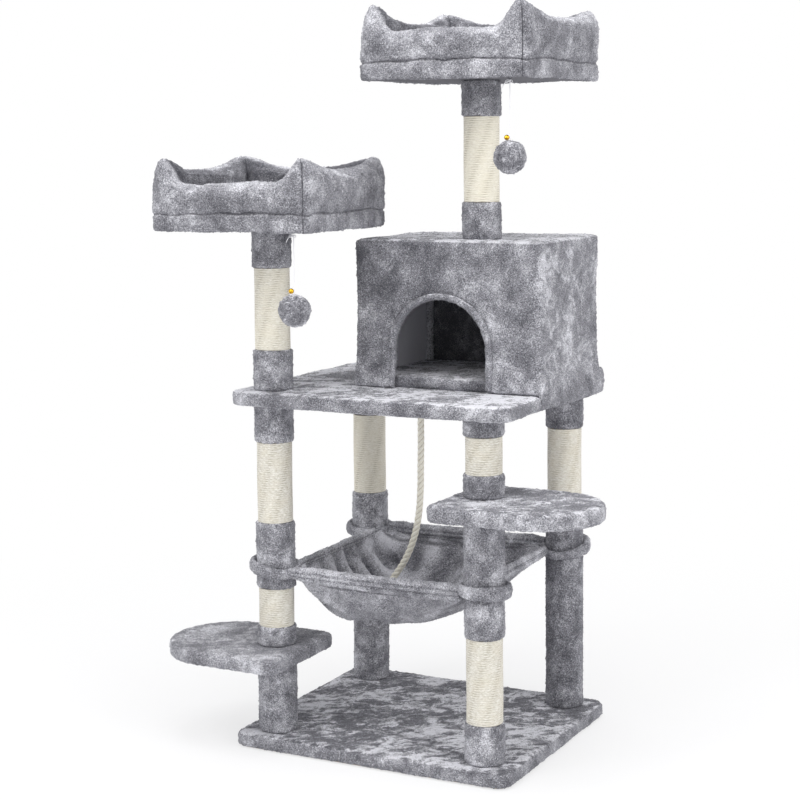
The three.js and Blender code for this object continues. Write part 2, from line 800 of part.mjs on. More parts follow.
// A pompom on a string, tied to the eye under a bed, with a small bell where the string ends.
function toy(name) {
  const group = new THREE.Group();
  const knotTop = -eyeRadius - eyeWire / 2 - fit;
  const knot = revolve([
    [0, knotTop - 2 * knotRadius],
    [knotRadius, knotTop - knotRadius],
    [0, knotTop],
  ], 10);
  const stringTop = knotTop - 2 * knotRadius - fit;
  const stringEnd = stringTop - stringLength;
  const string = solid(bar(
    new THREE.LineCurve3(new THREE.Vector3(0, 0, stringTop), new THREE.Vector3(0, 0, stringEnd)),
    stringRadius,
    8,
    8,
  ));
  const pompomZ = stringEnd - fit - pompomRadius;
  const pompom = solid(new THREE.SphereGeometry(pompomRadius, 12, 8).rotateX(Math.PI / 2));
  const bell = solid(new THREE.SphereGeometry(bellRadius, 8, 6).rotateX(Math.PI / 2));
  const bellX = -stringRadius - fit - bellRadius;
  const bellZ = pompomZ + Math.sqrt((pompomRadius + bellRadius + fit) ** 2 - bellX ** 2);
  group.add(piece(`${name}_knot`, knot, cord));
  group.add(piece(`${name}_string`, string, cord));
  group.add(piece(`${name}_pompom`, pompom, plush, [0, 0, pompomZ]));
  group.add(piece(`${name}_bell`, bell, brass, [bellX, 0, bellZ]));
  group.position.set(toyOffsetX, toyOffsetY, 0);
  return group;
}

// ---------------------------------------------------------------- assembly

const tree = new THREE.Group();
tree.add(piece("base_board", baseBoard(), particleBoard));
tree.add(piece("base_cover", baseCover(), plush));
tree.add(posts());
tree.add(deck());
tree.add(perch("lower_perch", -1, lowerPerchHeight));
tree.add(perch("side_perch", 1, sidePerchHeight));
tree.add(condo());
tree.add(bed("left", -postX, -postY, leftBedHeight, leftBedSize, leftBedEar, leftBedTurn));
tree.add(bed(
  "right", rightBedPostX, rightBedPostY, rightBedHeight, rightBedSize, rightBedEar, rightBedTurn,
));
tree.add(hammock());
tree.add(rope());

export default tree;
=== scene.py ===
"""The looks of a plush cat tree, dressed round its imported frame. Metres, +Z up, front towards -Y."""
import itertools
import math

import bpy
import numpy as np
from mathutils import Matrix, Vector

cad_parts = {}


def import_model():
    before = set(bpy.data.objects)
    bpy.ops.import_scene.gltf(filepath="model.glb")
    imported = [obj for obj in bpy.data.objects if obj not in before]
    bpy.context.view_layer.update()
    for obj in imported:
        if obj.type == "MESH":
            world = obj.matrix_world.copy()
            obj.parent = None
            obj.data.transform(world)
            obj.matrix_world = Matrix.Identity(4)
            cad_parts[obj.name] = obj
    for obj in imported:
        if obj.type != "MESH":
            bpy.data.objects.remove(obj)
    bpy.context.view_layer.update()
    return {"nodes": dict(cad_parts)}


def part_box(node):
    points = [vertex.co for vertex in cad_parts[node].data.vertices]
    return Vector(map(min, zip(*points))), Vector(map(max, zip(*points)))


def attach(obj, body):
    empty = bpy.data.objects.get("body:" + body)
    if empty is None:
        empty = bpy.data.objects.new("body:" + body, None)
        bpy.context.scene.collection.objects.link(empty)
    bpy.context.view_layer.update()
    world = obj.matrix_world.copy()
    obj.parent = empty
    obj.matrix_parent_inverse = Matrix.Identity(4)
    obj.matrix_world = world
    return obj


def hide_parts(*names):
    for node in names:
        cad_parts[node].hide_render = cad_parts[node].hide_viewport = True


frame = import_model()

MM = 0.001

# ---------------- sizes that the frame doesn't give

SLEEVE_CELL = 2.8 * MM  # size of a face on the post sleeves
BOARD_CELL = 3.2 * MM  # and on the boards and the condo
BED_CELL = 5.0 * MM  # and on the beds, before their one subdivision
PLUSH_PILE = 1.5 * MM  # how far the pile's tufts stand up and down
SEAM_BASE = 1000.0  # a seam attribute holds this plus the distance from the seam in mm; 0 is no seam

# ---------------- noise

HASH = np.array([374761393, 668265263, 1440662683], np.int64)
TILT = np.array(Matrix.Rotation(0.7, 3, Vector((1, 2, 3))))  # turns the noise off the axes


def lattice(cells, seed):
    """A repeatable random number from 0 to 1 for each whole-numbered point."""
    mixed = (cells * HASH).sum(axis=1) + seed * 1013904223
    mixed = (mixed ^ (mixed >> 13)) * 1274126177
    return ((mixed ^ (mixed >> 16)) & 0xFFFFFF) / 0xFFFFFF


def noise(points, size, seed=0):
    """Smooth noise from -1 to 1, its lumps about size across."""
    grid = points @ TILT / size
    cell = np.floor(grid).astype(np.int64)
    t = grid - cell
    t = t * t * (3 - 2 * t)
    total = np.zeros(len(points))
    for corner in itertools.product((0, 1), repeat=3):
        weight = np.prod(np.where(corner, t, 1 - t), axis=1)
        total += weight * lattice(cell + corner, seed)
    return 2 * total - 1


def ease(value, low, high):
    t = np.clip((value - low) / (high - low), 0, 1)
    return t * t * (3 - 2 * t)


# ---------------- meshes


def circle(count):
    return np.linspace(0, 2 * np.pi, count, endpoint=False)


def ring_faces(rings, around, closed=False):
    """Quads between rings; closed joins the last ring to the first."""
    i = np.arange(rings if closed else rings - 1)[:, None]
    j = np.arange(around)[None]
    k, n = (j + 1) % around, (i + 1) % rings
    corners = [i * around + j, i * around + k, n * around + k, n * around + j]
    return np.stack(corners, axis=-1).reshape(-1, 4)


def capped_faces(rings, around):
    """Quads between rings and a face across each end."""
    faces = ring_faces(rings, around).tolist()
    faces.append(list(range(around))[::-1])
    faces.append([(rings - 1) * around + j for j in range(around)])
    return faces


def adjust(thing, **values):
    """Sets several properties of a thing."""
    for key, value in values.items():
        setattr(thing, key, value)
    return thing


def placed(name, data):
    made = bpy.data.objects.new(name, data)
    bpy.context.scene.collection.objects.link(made)
    return made


def mesh_object(name, vertices, faces):
    mesh = bpy.data.meshes.new(name)
    mesh.from_pydata(np.asarray(vertices, float).tolist(), [], [list(map(int, f)) for f in faces])
    mesh.update()
    return placed(name, mesh)


def numbers_of(items, name, width, kind=np.float32):
    """One property of all of a mesh's items, a row for each."""
    flat = np.empty(len(items) * width, kind)
    items.foreach_get(name, flat)
    return flat.reshape(-1, width)


def points_of(piece):
    return numbers_of(piece.data.vertices, "co", 3).astype(float)


def set_points(piece, points):
    piece.data.vertices.foreach_set("co", points.astype(np.float32).ravel())
    piece.data.update()


def normals_of(piece):
    return numbers_of(piece.data.vertex_normals, "vector", 3).astype(float)


def box_of(node):
    return (np.array(corner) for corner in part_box(node))


def puff(piece, height):
    """Moves each point out along its normal by its own height."""
    set_points(piece, points_of(piece) + normals_of(piece) * height[:, None])


def relax(piece, rounds, weight=0.5):
    """Evens a mesh out: each point moves towards its neighbours' middle."""
    points = points_of(piece)
    edges = numbers_of(piece.data.edges, "vertices", 2, np.int32)
    count = np.bincount(edges.ravel(), minlength=len(points))[:, None]
    for _ in range(rounds):
        total = np.zeros_like(points)
        for axis in range(3):
            total[:, axis] = np.bincount(edges[:, 0], points[edges[:, 1], axis], len(points))
            total[:, axis] += np.bincount(edges[:, 1], points[edges[:, 0], axis], len(points))
        points += weight * (total / count - points)
    set_points(piece, points)


def evaluated(piece):
    """A piece as its modifiers or its curve's settings make it."""
    return piece.evaluated_get(bpy.context.evaluated_depsgraph_get())


def with_modifier(piece, kind, **settings):
    adjust(piece.modifiers.new(kind.title(), kind), **settings)
    made = bpy.data.meshes.new_from_object(evaluated(piece))
    piece.modifiers.clear()
    old, piece.data = piece.data, made
    bpy.data.meshes.remove(old)


def remesh(piece, cell, rounds=2):
    """Gives a piece an even mesh with faces of one size, its edges softened."""
    with_modifier(piece, "REMESH", mode="VOXEL", voxel_size=cell)
    relax(piece, rounds)


def mark(piece, name, values):
    attribute = piece.data.attributes.new(name, "FLOAT", "POINT")
    attribute.data.foreach_set("value", np.asarray(values, np.float32))


def fluff(piece, seed, pile=PLUSH_PILE, sway=0.8 * MM, weight=1.0):
    """Raises plush in tufts, by pile, and lets the cloth under them sway."""
    points = points_of(piece)
    tufts = 0.3 * noise(points, 5.5 * MM, seed) + 0.8 * noise(points, 2.8 * MM, seed + 1)
    clumps = 0.3 * noise(points, 13 * MM, seed + 2)
    spikes = 1.5 * np.clip((noise(points, 2.6 * MM, seed + 4) - 0.25) / 0.75, 0, 1) ** 1.5
    lift = pile * (tufts + clumps + spikes) + sway * noise(points, 60 * MM, seed + 3)
    puff(piece, lift * weight)


def paint_tone_and_light(piece, values):
    """Shifts a piece's tone, all over or from place to place: its own tone and painted light and
    shade; 0.1 is a little lighter.
    """
    mark(piece, "tone_and_painted_light", np.full(len(piece.data.vertices), values))


def finished(piece, material, slot, *replaced, body="tree"):
    """Gives a piece its material and body, and the nodes that it stands for; slot is not used."""
    piece.data.materials.clear()
    piece.data.materials.append(material)
    piece.data.shade_smooth()
    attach(piece, body)
    if replaced:
        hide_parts(*replaced)
    return piece


def plush(piece, seed, tone, material, slot, *replaced, **pile):
    """Gives a piece its tone, its pile and what finished() gives it."""
    paint_tone_and_light(piece, tone)
    fluff(piece, seed, **pile)
    return finished(piece, material, slot, *replaced)


# ---------------- materials


class Nodes:
    """A short way to write the nodes of a new material or world."""

    def __init__(self, name, holders=bpy.data.materials):
        self.made = holders.new(name)
        self.made.use_nodes = True
        self.tree = self.made.node_tree
        self.shader = self.tree.nodes.get("Principled BSDF")

    def add(self, kind, inputs=None, **properties):
        """A new node of a kind, such as Math for ShaderNodeMath."""
        made = adjust(self.tree.nodes.new("ShaderNode" + kind), **properties)
        for key, value in (inputs or {}).items():
            self.feed(made.inputs[key], value)
        return made

    def feed(self, socket, value):
        if isinstance(value, bpy.types.NodeSocket):
            self.tree.links.new(value, socket)
        else:
            socket.default_value = value

    def math(self, operation, *values):
        return self.add("Math", dict(enumerate(values)), operation=operation).outputs[0]

    def add_to(self, total, value, weight):
        """total, moved up and down by a value that lies about 0.5."""
        return self.math("MULTIPLY_ADD", self.math("SUBTRACT", value, 0.5), weight, total)

    def attribute(self, name):
        return self.add("Attribute", attribute_name=name).outputs["Fac"]

    def mix(self, factor, first, second):
        return self.add("Mix", {0: factor, 6: first, 7: second}, data_type="RGBA").outputs[2]

    def range(self, value, low, high, to_low=0.0, to_high=1.0):
        inputs = {0: value, 1: low, 2: high, 3: to_low, 4: to_high}
        return self.add("MapRange", inputs, interpolation_type="SMOOTHSTEP").outputs[0]

    def place(self, stretch=(1, 1, 1), turn=0.0):
        """Points in the piece's own space for a pattern stretched and turned about Z."""
        where = self.add("TexCoord").outputs["Object"]
        inputs = {"Vector": where, "Rotation": (0, 0, turn), "Scale": stretch}
        return self.add("Mapping", inputs, vector_type="TEXTURE").outputs[0]

    def noise(self, where, size, detail=2.0, roughness=0.5, distortion=0.0):
        inputs = {"Vector": where, "Scale": 1 / size, "Detail": detail, "Roughness": roughness}
        return self.add("TexNoise", {**inputs, "Distortion": distortion}).outputs[0]

    def set(self, **values):
        for key, value in values.items():
            self.feed(self.shader.inputs[key.replace("_", " ")], value)

    def bump(self, height, strength, distance):
        inputs = {"Height": height, "Strength": strength, "Distance": distance}
        self.set(Normal=self.add("Bump", inputs).outputs[0])


def srgb(*parts):
    """A colour written as it looks, 0 to 255, as the shader wants it."""
    linear = [((c / 255 + 0.055) / 1.055) ** 2.4 if c > 10 else c / 255 / 12.92 for c in parts]
    return (*linear, 1.0)


def plush_material(name, patch=95 * MM, level=0.5, crushed=1.0, sheen=0.35):
    """Crushed plush: patches of pile, about patch across, that lie this way and that, over fine
    tufts. Faces that look up show feathery bright streaks on dark, as much as crushed says, and so
    do ruffled ones; the others are softer. level is the tone."""
    n = Nodes(name)
    where = n.place()
    wide = n.noise(where, patch, 2.0, 0.5, 0.4)
    middling = n.noise(where, patch / 2, 6.0, 0.62, 0.5)
    combed = n.place((1.45, 1.0, 1.0), 0.6)
    brushed = n.noise(combed, patch / 3.2, 8.0, 0.62, 1.3)
    feather = n.noise(n.place((2.6, 1.0, 1.5), 0.9), 7 * MM, 3.0, 0.6, 1.0)
    blotches = n.noise(where, 24 * MM, 3.0, 0.55, 0.5)
    strands = n.noise(where, 2.1 * MM, 1.0, 0.7, 0.8)
    tufts = n.noise(where, 7 * MM, 3.0, 0.6, 0.4)
    facing = n.add("SeparateXYZ", {0: n.add("NewGeometry").outputs["Normal"]})
    upward = n.math("MULTIPLY", n.range(facing.outputs[2], 0.6, 0.93), crushed)
    upward = n.math("MAXIMUM", upward, n.attribute("ruffled"))
    soft = n.math("MULTIPLY_ADD", wide, 0.6, level - 0.35)
    soft = n.add_to(soft, middling, 0.8)
    marks = n.add_to(brushed, wide, 0.5)
    soft = n.math("ADD", soft, n.range(marks, 0.50, 0.70, -0.04, 0.10))
    soft = n.add_to(soft, blotches, 0.45)
    crisp = n.add_to(n.range(marks, 0.39, 0.655, 0.08, 1.02), feather, 0.9)
    tone = n.add("Mix", {0: upward, 2: soft, 3: crisp}).outputs[0]
    tone = n.add_to(n.add_to(tone, tufts, 0.2), strands, 1.8)
    # the piece's own tone plus its painted light and shade
    tone = n.math("ADD", tone, n.attribute("tone_and_painted_light"))
    ramp = n.add("ValToRGB", {0: tone})
    stops = ramp.color_ramp.elements
    stops[0].position, stops[0].color = 0.05, DARK_PILE
    stops[1].position, stops[1].color = 0.95, LIGHT_PILE
    stops.new(0.5).color = MIDDLE_PILE
    colour = ramp.outputs[0]
    # seams: a dark line that is partly the seam and partly painted shade in its crease and under an
    # overhang
    for attribute, strength in (("seam_shade_level", 0.65), ("seam_shade_upright", 0.95)):
        seam = n.attribute(attribute)
        away = n.math("ABSOLUTE", n.math("SUBTRACT", seam, SEAM_BASE))
        shade = n.range(away, 0.4, 3.0, 1.0, 0.0)
        marked = n.math("MULTIPLY", shade, n.math("GREATER_THAN", seam, SEAM_BASE / 2))
        marked = n.math("MULTIPLY", marked, n.range(middling, 0.35, 0.6, 0.3 * strength, strength))
        colour = n.mix(marked, colour, SEAM_SHADE)
    n.set(Base_Color=colour, Roughness=0.95, Sheen_Weight=sheen, Sheen_Roughness=0.45)
    n.set(Sheen_Tint=srgb(225, 225, 232), Specular_IOR_Level=0.12)
    fine = n.noise(where, 1.7 * MM, 2.0, 0.6)
    n.bump(n.math("MULTIPLY_ADD", strands, 0.9, fine), 0.8, 1.8 * MM)
    return n.made


DARK_PILE, MIDDLE_PILE, LIGHT_PILE = srgb(84, 84, 90), srgb(148, 148, 154), srgb(230, 230, 236)
# painted shade along seams: the dark of a seam's crease and of an overhang above it
SEAM_SHADE = srgb(58, 58, 64)
PLUSH = plush_material("plush")
SOFT_PLUSH = plush_material("soft_plush", crushed=0.25)
POST_PLUSH = plush_material("post_plush", 52 * MM, level=0.52)
PERCH_PLUSH = plush_material("perch_plush", 60 * MM, crushed=0.55)
POMPOM = plush_material("pompom_pile", 30 * MM, level=0.43, sheen=0.8)


def sisal_material():
    n = Nodes("sisal_wrap")
    groove = n.attribute("groove")
    fibre = n.noise(n.place((6.0, 6.0, 1.0)), 1.0 * MM, 3.0, 0.7)
    blotch = n.noise(n.place(), 30 * MM, 3.0, 0.5)
    colour = n.mix(n.range(fibre, 0.3, 0.7), srgb(194, 188, 172), srgb(243, 241, 234))
    colour = n.mix(n.range(blotch, 0.35, 0.7, 0.0, 0.35), colour, srgb(217, 209, 189))
    # painted light: lightened posts mixed towards pale cream
    colour = n.mix(n.attribute("tone_and_painted_light"), colour, srgb(255, 249, 230))
    # painted shade in the grooves between turns
    colour = n.mix(n.math("MULTIPLY", groove, 0.95), colour, srgb(156, 147, 126))
    n.set(Base_Color=colour, Roughness=0.85, Specular_IOR_Level=0.2, Sheen_Weight=0.1)
    n.bump(n.noise(n.place((5.0, 5.0, 1.0)), 0.5 * MM, 3.0, 0.7), 0.5, 0.8 * MM)
    return n.made


def rope_material():
    n = Nodes("rope_sisal")
    groove = n.attribute("groove")
    fibre = n.noise(n.place(), 2.5 * MM, 4.0, 0.7, 0.5)
    colour = n.mix(n.range(fibre, 0.3, 0.7), srgb(244, 238, 218), srgb(255, 253, 244))
    # painted shade in the grooves between strands
    colour = n.mix(n.math("MULTIPLY", groove, 0.7), colour, srgb(146, 135, 112))
    n.set(Base_Color=colour, Roughness=0.85, Specular_IOR_Level=0.2)
    n.bump(fibre, 0.5, 1.0 * MM)
    return n.made


def plain_material(name, first, second, size, roughness, metallic=0.0, relief=0.3):
    """A grained surface of two close colours."""
    n = Nodes(name)
    grain = n.noise(n.place(), size, 4.0, 0.6)
    n.set(Base_Color=n.mix(n.range(grain, 0.3, 0.7), srgb(*first), srgb(*second)))
    n.set(Roughness=roughness, Metallic=metallic)
    n.bump(grain, relief, 0.4 * MM)
    return n.made


SISAL = sisal_material()
ROPE = rope_material()
STRING = plain_material("white_string", (236, 236, 240), (250, 250, 252), 1 * MM, 0.7)
LINER = plain_material("smooth_liner", (240, 240, 248), (246, 246, 254), 2 * MM, 0.8, relief=0.15)
BRASS = plain_material("bell_brass", (222, 168, 40), (244, 196, 66), 3 * MM, 0.25, 1.0, 0.05)
CARDBOARD = plain_material("cardboard_tube", (166, 130, 90), (186, 150, 108), 6 * MM, 0.9)
# the bed boards' underside: a grey cloth, drawn dark as painted shade under the beds
UNDERSIDE_SHADE_CLOTH = plain_material("underside_cloth_shade", (92, 92, 98), (112, 112, 118), 3 * MM, 0.95)
CHIPS = plain_material("particle_board", (176, 148, 104), (212, 186, 142), 4 * MM, 0.85)

# ---------------- camera


CAMERA_PLACE = (1.676, -3.340, 1.235)
CAMERA_YAW, CAMERA_PITCH, CAMERA_ROLL = 27.32, 5.36, -0.48  # degrees to the left, down and over


def camera():
    """The camera stands in front of the tree and to its right."""
    settings = dict(lens=82.0, sensor_width=36.0, shift_y=-0.111, clip_end=100)
    made = placed("camera", adjust(bpy.data.cameras.new("camera"), **settings))
    matrix = Matrix.Translation(CAMERA_PLACE)
    for turn, axis in ((CAMERA_YAW, "Z"), (90 - CAMERA_PITCH, "X"), (CAMERA_ROLL, "Z")):
        matrix @= Matrix.Rotation(math.radians(turn), 4, axis)
    made.matrix_world = matrix
    bpy.context.scene.camera = made


camera()

# ---------------- cords


def reach_along(route):
    return np.concatenate([[0], np.cumsum(np.linalg.norm(np.diff(route, axis=0), axis=1))])


def spline(points, count):
    """Points evenly spaced on one smooth curve through the given ones."""
    curve = bpy.data.curves.new("route", "CURVE")
    curve.dimensions = "3D"
    line = curve.splines.new("BEZIER")
    line.bezier_points.add(len(points) - 1)
    for knot, point in zip(line.bezier_points, points):
        knot.co = point
        knot.handle_left_type = knot.handle_right_type = "AUTO"
    curve.resolution_u = 24
    dense = bpy.data.meshes.new_from_object(evaluated(placed("route", curve)))
    route = np.array([v.co for v in dense.vertices])
    bpy.data.curves.remove(curve)
    bpy.data.meshes.remove(dense)
    reach = reach_along(route)
    stops = np.linspace(0, reach[-1], count)
    return np.stack([np.interp(stops, reach, route[:, a]) for a in range(3)], axis=1)


def frames_along(route, closed=False):
    """Two directions across a route at each of its points, without twist."""
    ahead = np.gradient(route, axis=0)
    if closed:
        ahead = np.roll(route, -1, axis=0) - np.roll(route, 1, axis=0)
    ahead /= np.linalg.norm(ahead, axis=1)[:, None]
    start = np.cross(ahead[0], (0, 1, 0) if abs(ahead[0][1]) < 0.9 else (1, 0, 0))
    across = [start / np.linalg.norm(start)]
    for direction in ahead[1:]:
        carried = across[-1] - direction * np.dot(across[-1], direction)
        across.append(carried / np.linalg.norm(carried))
    across = np.array(across)
    return across, np.cross(ahead, across)


def spokes(route, around, closed=False):
    """Directions from each point of a route to a ring of points round it."""
    across, other = frames_along(route, closed)
    angle = circle(around)[None, :, None]
    return np.cos(angle) * across[:, None] + np.sin(angle) * other[:, None]


def tube(name, route, radius, around, closed=False):
    """A tube along a route. radius is one number, or an array with a row for each point."""
    reach = np.broadcast_to(radius, (len(route), around))[:, :, None]
    points = (route[:, None] + spokes(route, around, closed) * reach).reshape(-1, 3)
    count = len(route)
    faces = ring_faces(count, around, True) if closed else capped_faces(count, around)
    return mesh_object(name, points, faces)


def oval_reach(directions, wide, tall):
    """The radius of a level tube in each direction of its rings, for an oval section whose half
    width and half height are wide and tall."""
    level = np.hypot(directions[..., 0], directions[..., 1]) / wide
    return 1 / np.sqrt(level**2 + (directions[..., 2] / tall) ** 2)


def three_strand(name, route, radius, lay, around=24):
    """A laid rope: three round strands that turn once in each length of lay."""
    turn = circle(around)[None] - 2 * np.pi * reach_along(route)[:, None] / lay
    strand = np.abs(np.cos(1.5 * turn)) ** 0.7
    made = tube(name, route, radius * (0.72 + 0.28 * strand), around)
    # where the grooves lie, for the painted shade the rope's material puts there
    mark(made, "groove", ease(0.6 - strand.ravel(), 0, 0.6))
    return made


ROPE_ROUTE = [
    (-0.003, 0.000, 0.705), (-0.003, 0.000, 0.660), (-0.003, 0.000, 0.610), (-0.004, 0.000, 0.560),
    (-0.005, 0.000, 0.510), (-0.010, 0.000, 0.455), (-0.022, 0.000, 0.405), (-0.042, 0.001, 0.360),
    (-0.066, 0.003, 0.325), (-0.087, 0.002, 0.296), (-0.104, -0.004, 0.274),
    (-0.114, -0.020, 0.263), (-0.112, -0.042, 0.2595), (-0.098, -0.060, 0.2585),
]
ROPE_RADIUS = 7.2 * MM
ROPE_LAY = 38 * MM
KNOT_SIZE = 4.6 * MM


def rope():
    """The rope from the deck into the hammock, with the knot that ends it."""
    route = spline(ROPE_ROUTE, 260)
    made = three_strand("sisal_rope", route, ROPE_RADIUS, ROPE_LAY)
    finished(made, ROPE, "rope", "rope")
    t = circle(120)
    loop = np.stack([
        np.sin(t) + 2 * np.sin(2 * t),
        np.cos(t) - 2 * np.cos(2 * t),
        -1.3 * np.sin(3 * t),
    ], axis=1) * KNOT_SIZE
    end = route[-1] + (route[-1] - route[-8]) * 0.9
    knot = tube("sisal_rope_knot", loop + end + (0, 0, 6 * MM), 6.2 * MM, 16, closed=True)
    puff(knot, 0.5 * MM * noise(points_of(knot), 2.5 * MM, 5))
    finished(knot, ROPE, "rope")


rope()


def revolved(centre, radius, height, around):
    """Points of rings round an upright axis. radius and height have a row for each ring."""
    turn = circle(around)
    parts = centre[0] + radius * np.cos(turn), centre[1] + radius * np.sin(turn), height + 0 * turn
    return np.stack(np.broadcast_arrays(*parts), axis=-1).reshape(-1, 3)


def ball(name, centre, radius, rings=24, around=36):
    lean = np.linspace(-np.pi / 2, np.pi / 2, rings + 2)[1:-1, None]
    shell = revolved((0, 0), np.cos(lean), np.sin(lean), around)
    points = np.concatenate([shell, [[0, 0, -1], [0, 0, 1]]]) * radius + np.array(centre)
    faces = ring_faces(rings, around).tolist()
    last = (rings - 1) * around
    for j in range(around):
        k = (j + 1) % around
        faces.append([len(shell), k, j])
        faces.append([len(shell) + 1, last + j, last + k])
    return mesh_object(name, points, faces)


def pompom(name, node, body, seed):
    """A ball of long pile that parts into tufts."""
    low, high = box_of(node)
    centre, radius = (low + high) / 2, (high[2] - low[2]) / 2
    made = ball(name, (0, 0, 0), 1.0, 12, 24)
    remesh(made, 0.045, 0)
    outward = points_of(made)
    outward /= np.linalg.norm(outward, axis=1)[:, None]
    tufts = 0.5 * noise(outward, 0.16, seed) + 0.35 * noise(outward, 0.08, seed + 1)
    tufts += 0.35 * noise(outward, 0.42, seed + 2)
    set_points(made, centre + outward * (radius * (0.97 + 0.11 * tufts))[:, None])
    # painted shade: sunken tufts drawn darker and raised ones lighter
    paint_tone_and_light(made, 0.22 * tufts - 0.03)
    return finished(made, POMPOM, "pompom", node, body=body)


def jingle_bell(name, node, body):
    """A little brass bell: a ball with a raised band and a slot underneath."""
    low, high = box_of(node)
    centre, radius = (low + high) / 2, (high[0] - low[0]) / 2
    made = ball(name, (0, 0, 0), 1.0, 40, 48)
    points = points_of(made)
    band = np.exp(-(points[:, 2] / 0.09) ** 2)
    slot_depth = ease(0.16 - np.abs(points[:, 0]), 0, 0.06) * (points[:, 2] < -0.25)
    points *= (0.95 + 0.05 * band - 0.3 * slot_depth)[:, None]
    set_points(made, points * radius + centre)
    return finished(made, BRASS, "bell", node, body=body)


def bow(name, eye):
    """The white tie on the wire eye: a knot, two small loops and a loose tail."""
    t = circle(40)
    parts = []
    for reach, drop in ((7, 1.75), (-8, 1.2)):
        out = (1 - np.cos(t)) / 2
        loop = np.stack([reach * out, 1.2 * np.sin(t) - 3.4, 2.4 * np.sin(t) - drop * out], axis=1)
        parts.append(tube(name + "_loop", loop * MM + eye, 0.75 * MM, 8, closed=True))
    tail = np.array([(0, -3, 0), (-4, -4, -1), (-11, -4, -7), (-14, -4, -13)]) * MM
    parts.append(tube(name + "_tail", spline(tail, 24) + eye, 0.8 * MM, 8))
    parts.append(ball(name + "_knot", eye, 2.2 * MM, 10, 14))
    parts.append(ball(name + "_knot", eye - (0, 3 * MM, 0), 1.9 * MM, 10, 14))
    return joined(name, parts)


def joined(name, parts):
    vertices, faces, start = [], [], 0
    for part in parts:
        points = points_of(part)
        vertices.append(points)
        faces += [[start + v for v in p.vertices] for p in part.data.polygons]
        start += len(points)
        bpy.data.meshes.remove(part.data)
    return mesh_object(name, np.concatenate(vertices), faces)


def toy(name, seed):
    """A pompom that swings on a string under one bed."""
    low, high = box_of(f"{name}_string")
    top = np.array([*(low + high)[:2] / 2, high[2]])
    length = high[2] - low[2]
    line = top - np.array([0, 0, 1]) * np.linspace(0, length, 60)[:, None]
    string = three_strand(f"{name}_cord", line, 1.05 * MM, 5 * MM, 12)
    string.data.attributes.remove(string.data.attributes["groove"])
    finished(string, STRING, "string", f"{name}_string", body=name)
    pompom(f"{name}_pompom_fur", f"{name}_pompom", name, seed)
    bell = jingle_bell(f"{name}_jingle_bell", f"{name}_bell", name)
    tie = bow(f"{name}_bow", sum(box_of(f"{name}_knot")) / 2)
    finished(tie, STRING, "string", f"{name}_knot", body=f"{name}_tie")


toy("left_toy", 11)
toy("right_toy", 47)

# ---------------- posts


def sleeve(name, seed):
    """A plush sleeve: a soft tube with rolled ends."""
    low, high = box_of(name)
    outer, round_off = (high - low)[0] / 2, 4.5 * MM
    inner = outer - 8.2 * MM
    bend = np.linspace(0, np.pi / 2, 4)
    out, up = round_off * (1 - np.sin(bend)), round_off * (1 - np.cos(bend))
    foot, head = low[2], high[2]
    rows = max(3, int((head - foot - 2 * round_off) / SLEEVE_CELL))
    rise = np.linspace(foot + round_off, head - round_off, rows)[1:-1]
    radius = [outer - out, np.full(len(rise), outer), outer - up, [inner] * 3]
    height = [foot + up, rise, head - out, [head, (head + foot) / 2, foot]]
    radius, height = np.concatenate(radius)[:, None], np.concatenate(height)[:, None]
    around = 88
    points = revolved((low + high)[:2] / 2, radius, height, around)
    made = mesh_object(f"{name}_plush", points, ring_faces(len(radius), around, closed=True))
    lift = np.ones((len(radius), around))
    lift[-3:] = 0
    # painted shade: the back right sleeve drawn darker
    tone = -0.12 if name.startswith("back_right") else 0.0
    return plush(made, seed, tone, POST_PLUSH, "plush_posts", name, weight=lift.ravel())


SISAL_PITCH = 4.6 * MM
SISAL_RIDGE = 1.4 * MM
SISAL_DEPTH = 4.5 * MM
# painted light: how much lighter these posts' sisal is drawn, where they stand in shade
SISAL_PAINTED_LIGHT = {"back_left_sisal": 0.3, "right_bed_post_sisal": 0.45, "left_bed_post_sisal": 0.25}


def sisal_wrap(name):
    """Cord wound round a post, each turn a round ridge."""
    low, high = box_of(name)
    centre, outer = (low + high)[:2] / 2, (high - low)[0] / 2
    around, foot, head = 72, low[2], high[2]
    rows = int((head - foot) / SISAL_PITCH * 6)
    heights, turn = np.linspace(foot, head, rows)[:, None], circle(around)
    phase = (heights / SISAL_PITCH - turn / (2 * np.pi)) % 1.0
    ridge = np.sqrt(np.clip(1 - (2 * phase - 1) ** 2, 0, 1))
    wander = 0.25 * MM * np.sin(3 * turn + 40 * heights)
    shell = revolved(centre, outer - SISAL_RIDGE * (1 - ridge) + wander, heights, around)
    inner = revolved(centre, outer - SISAL_DEPTH, np.array([[head], [foot]]), around)
    points = np.concatenate([shell, inner])
    made = mesh_object(f"{name}_cord", points, ring_faces(rows + 2, around, closed=True))
    # where the grooves lie, for the painted shade the sisal material puts there; the hidden inner
    # faces too
    groove = np.concatenate([ease(0.55 - ridge.ravel(), 0, 0.5), np.ones(2 * around)])
    mark(made, "groove", groove)
    paint_tone_and_light(made, SISAL_PAINTED_LIGHT.get(name, 0.0))
    return finished(made, SISAL, "sisal", name)


SLEEVES = [n for n in sorted(frame["nodes"]) if n.endswith(("_sleeve", "_collar"))]
SISALS = [n for n in sorted(frame["nodes"]) if n.endswith("_sisal")]

for index, node in enumerate(SLEEVES):
    sleeve(node, 100 + 7 * index)
for node in SISALS:
    sisal_wrap(node)

# ---------------- boards


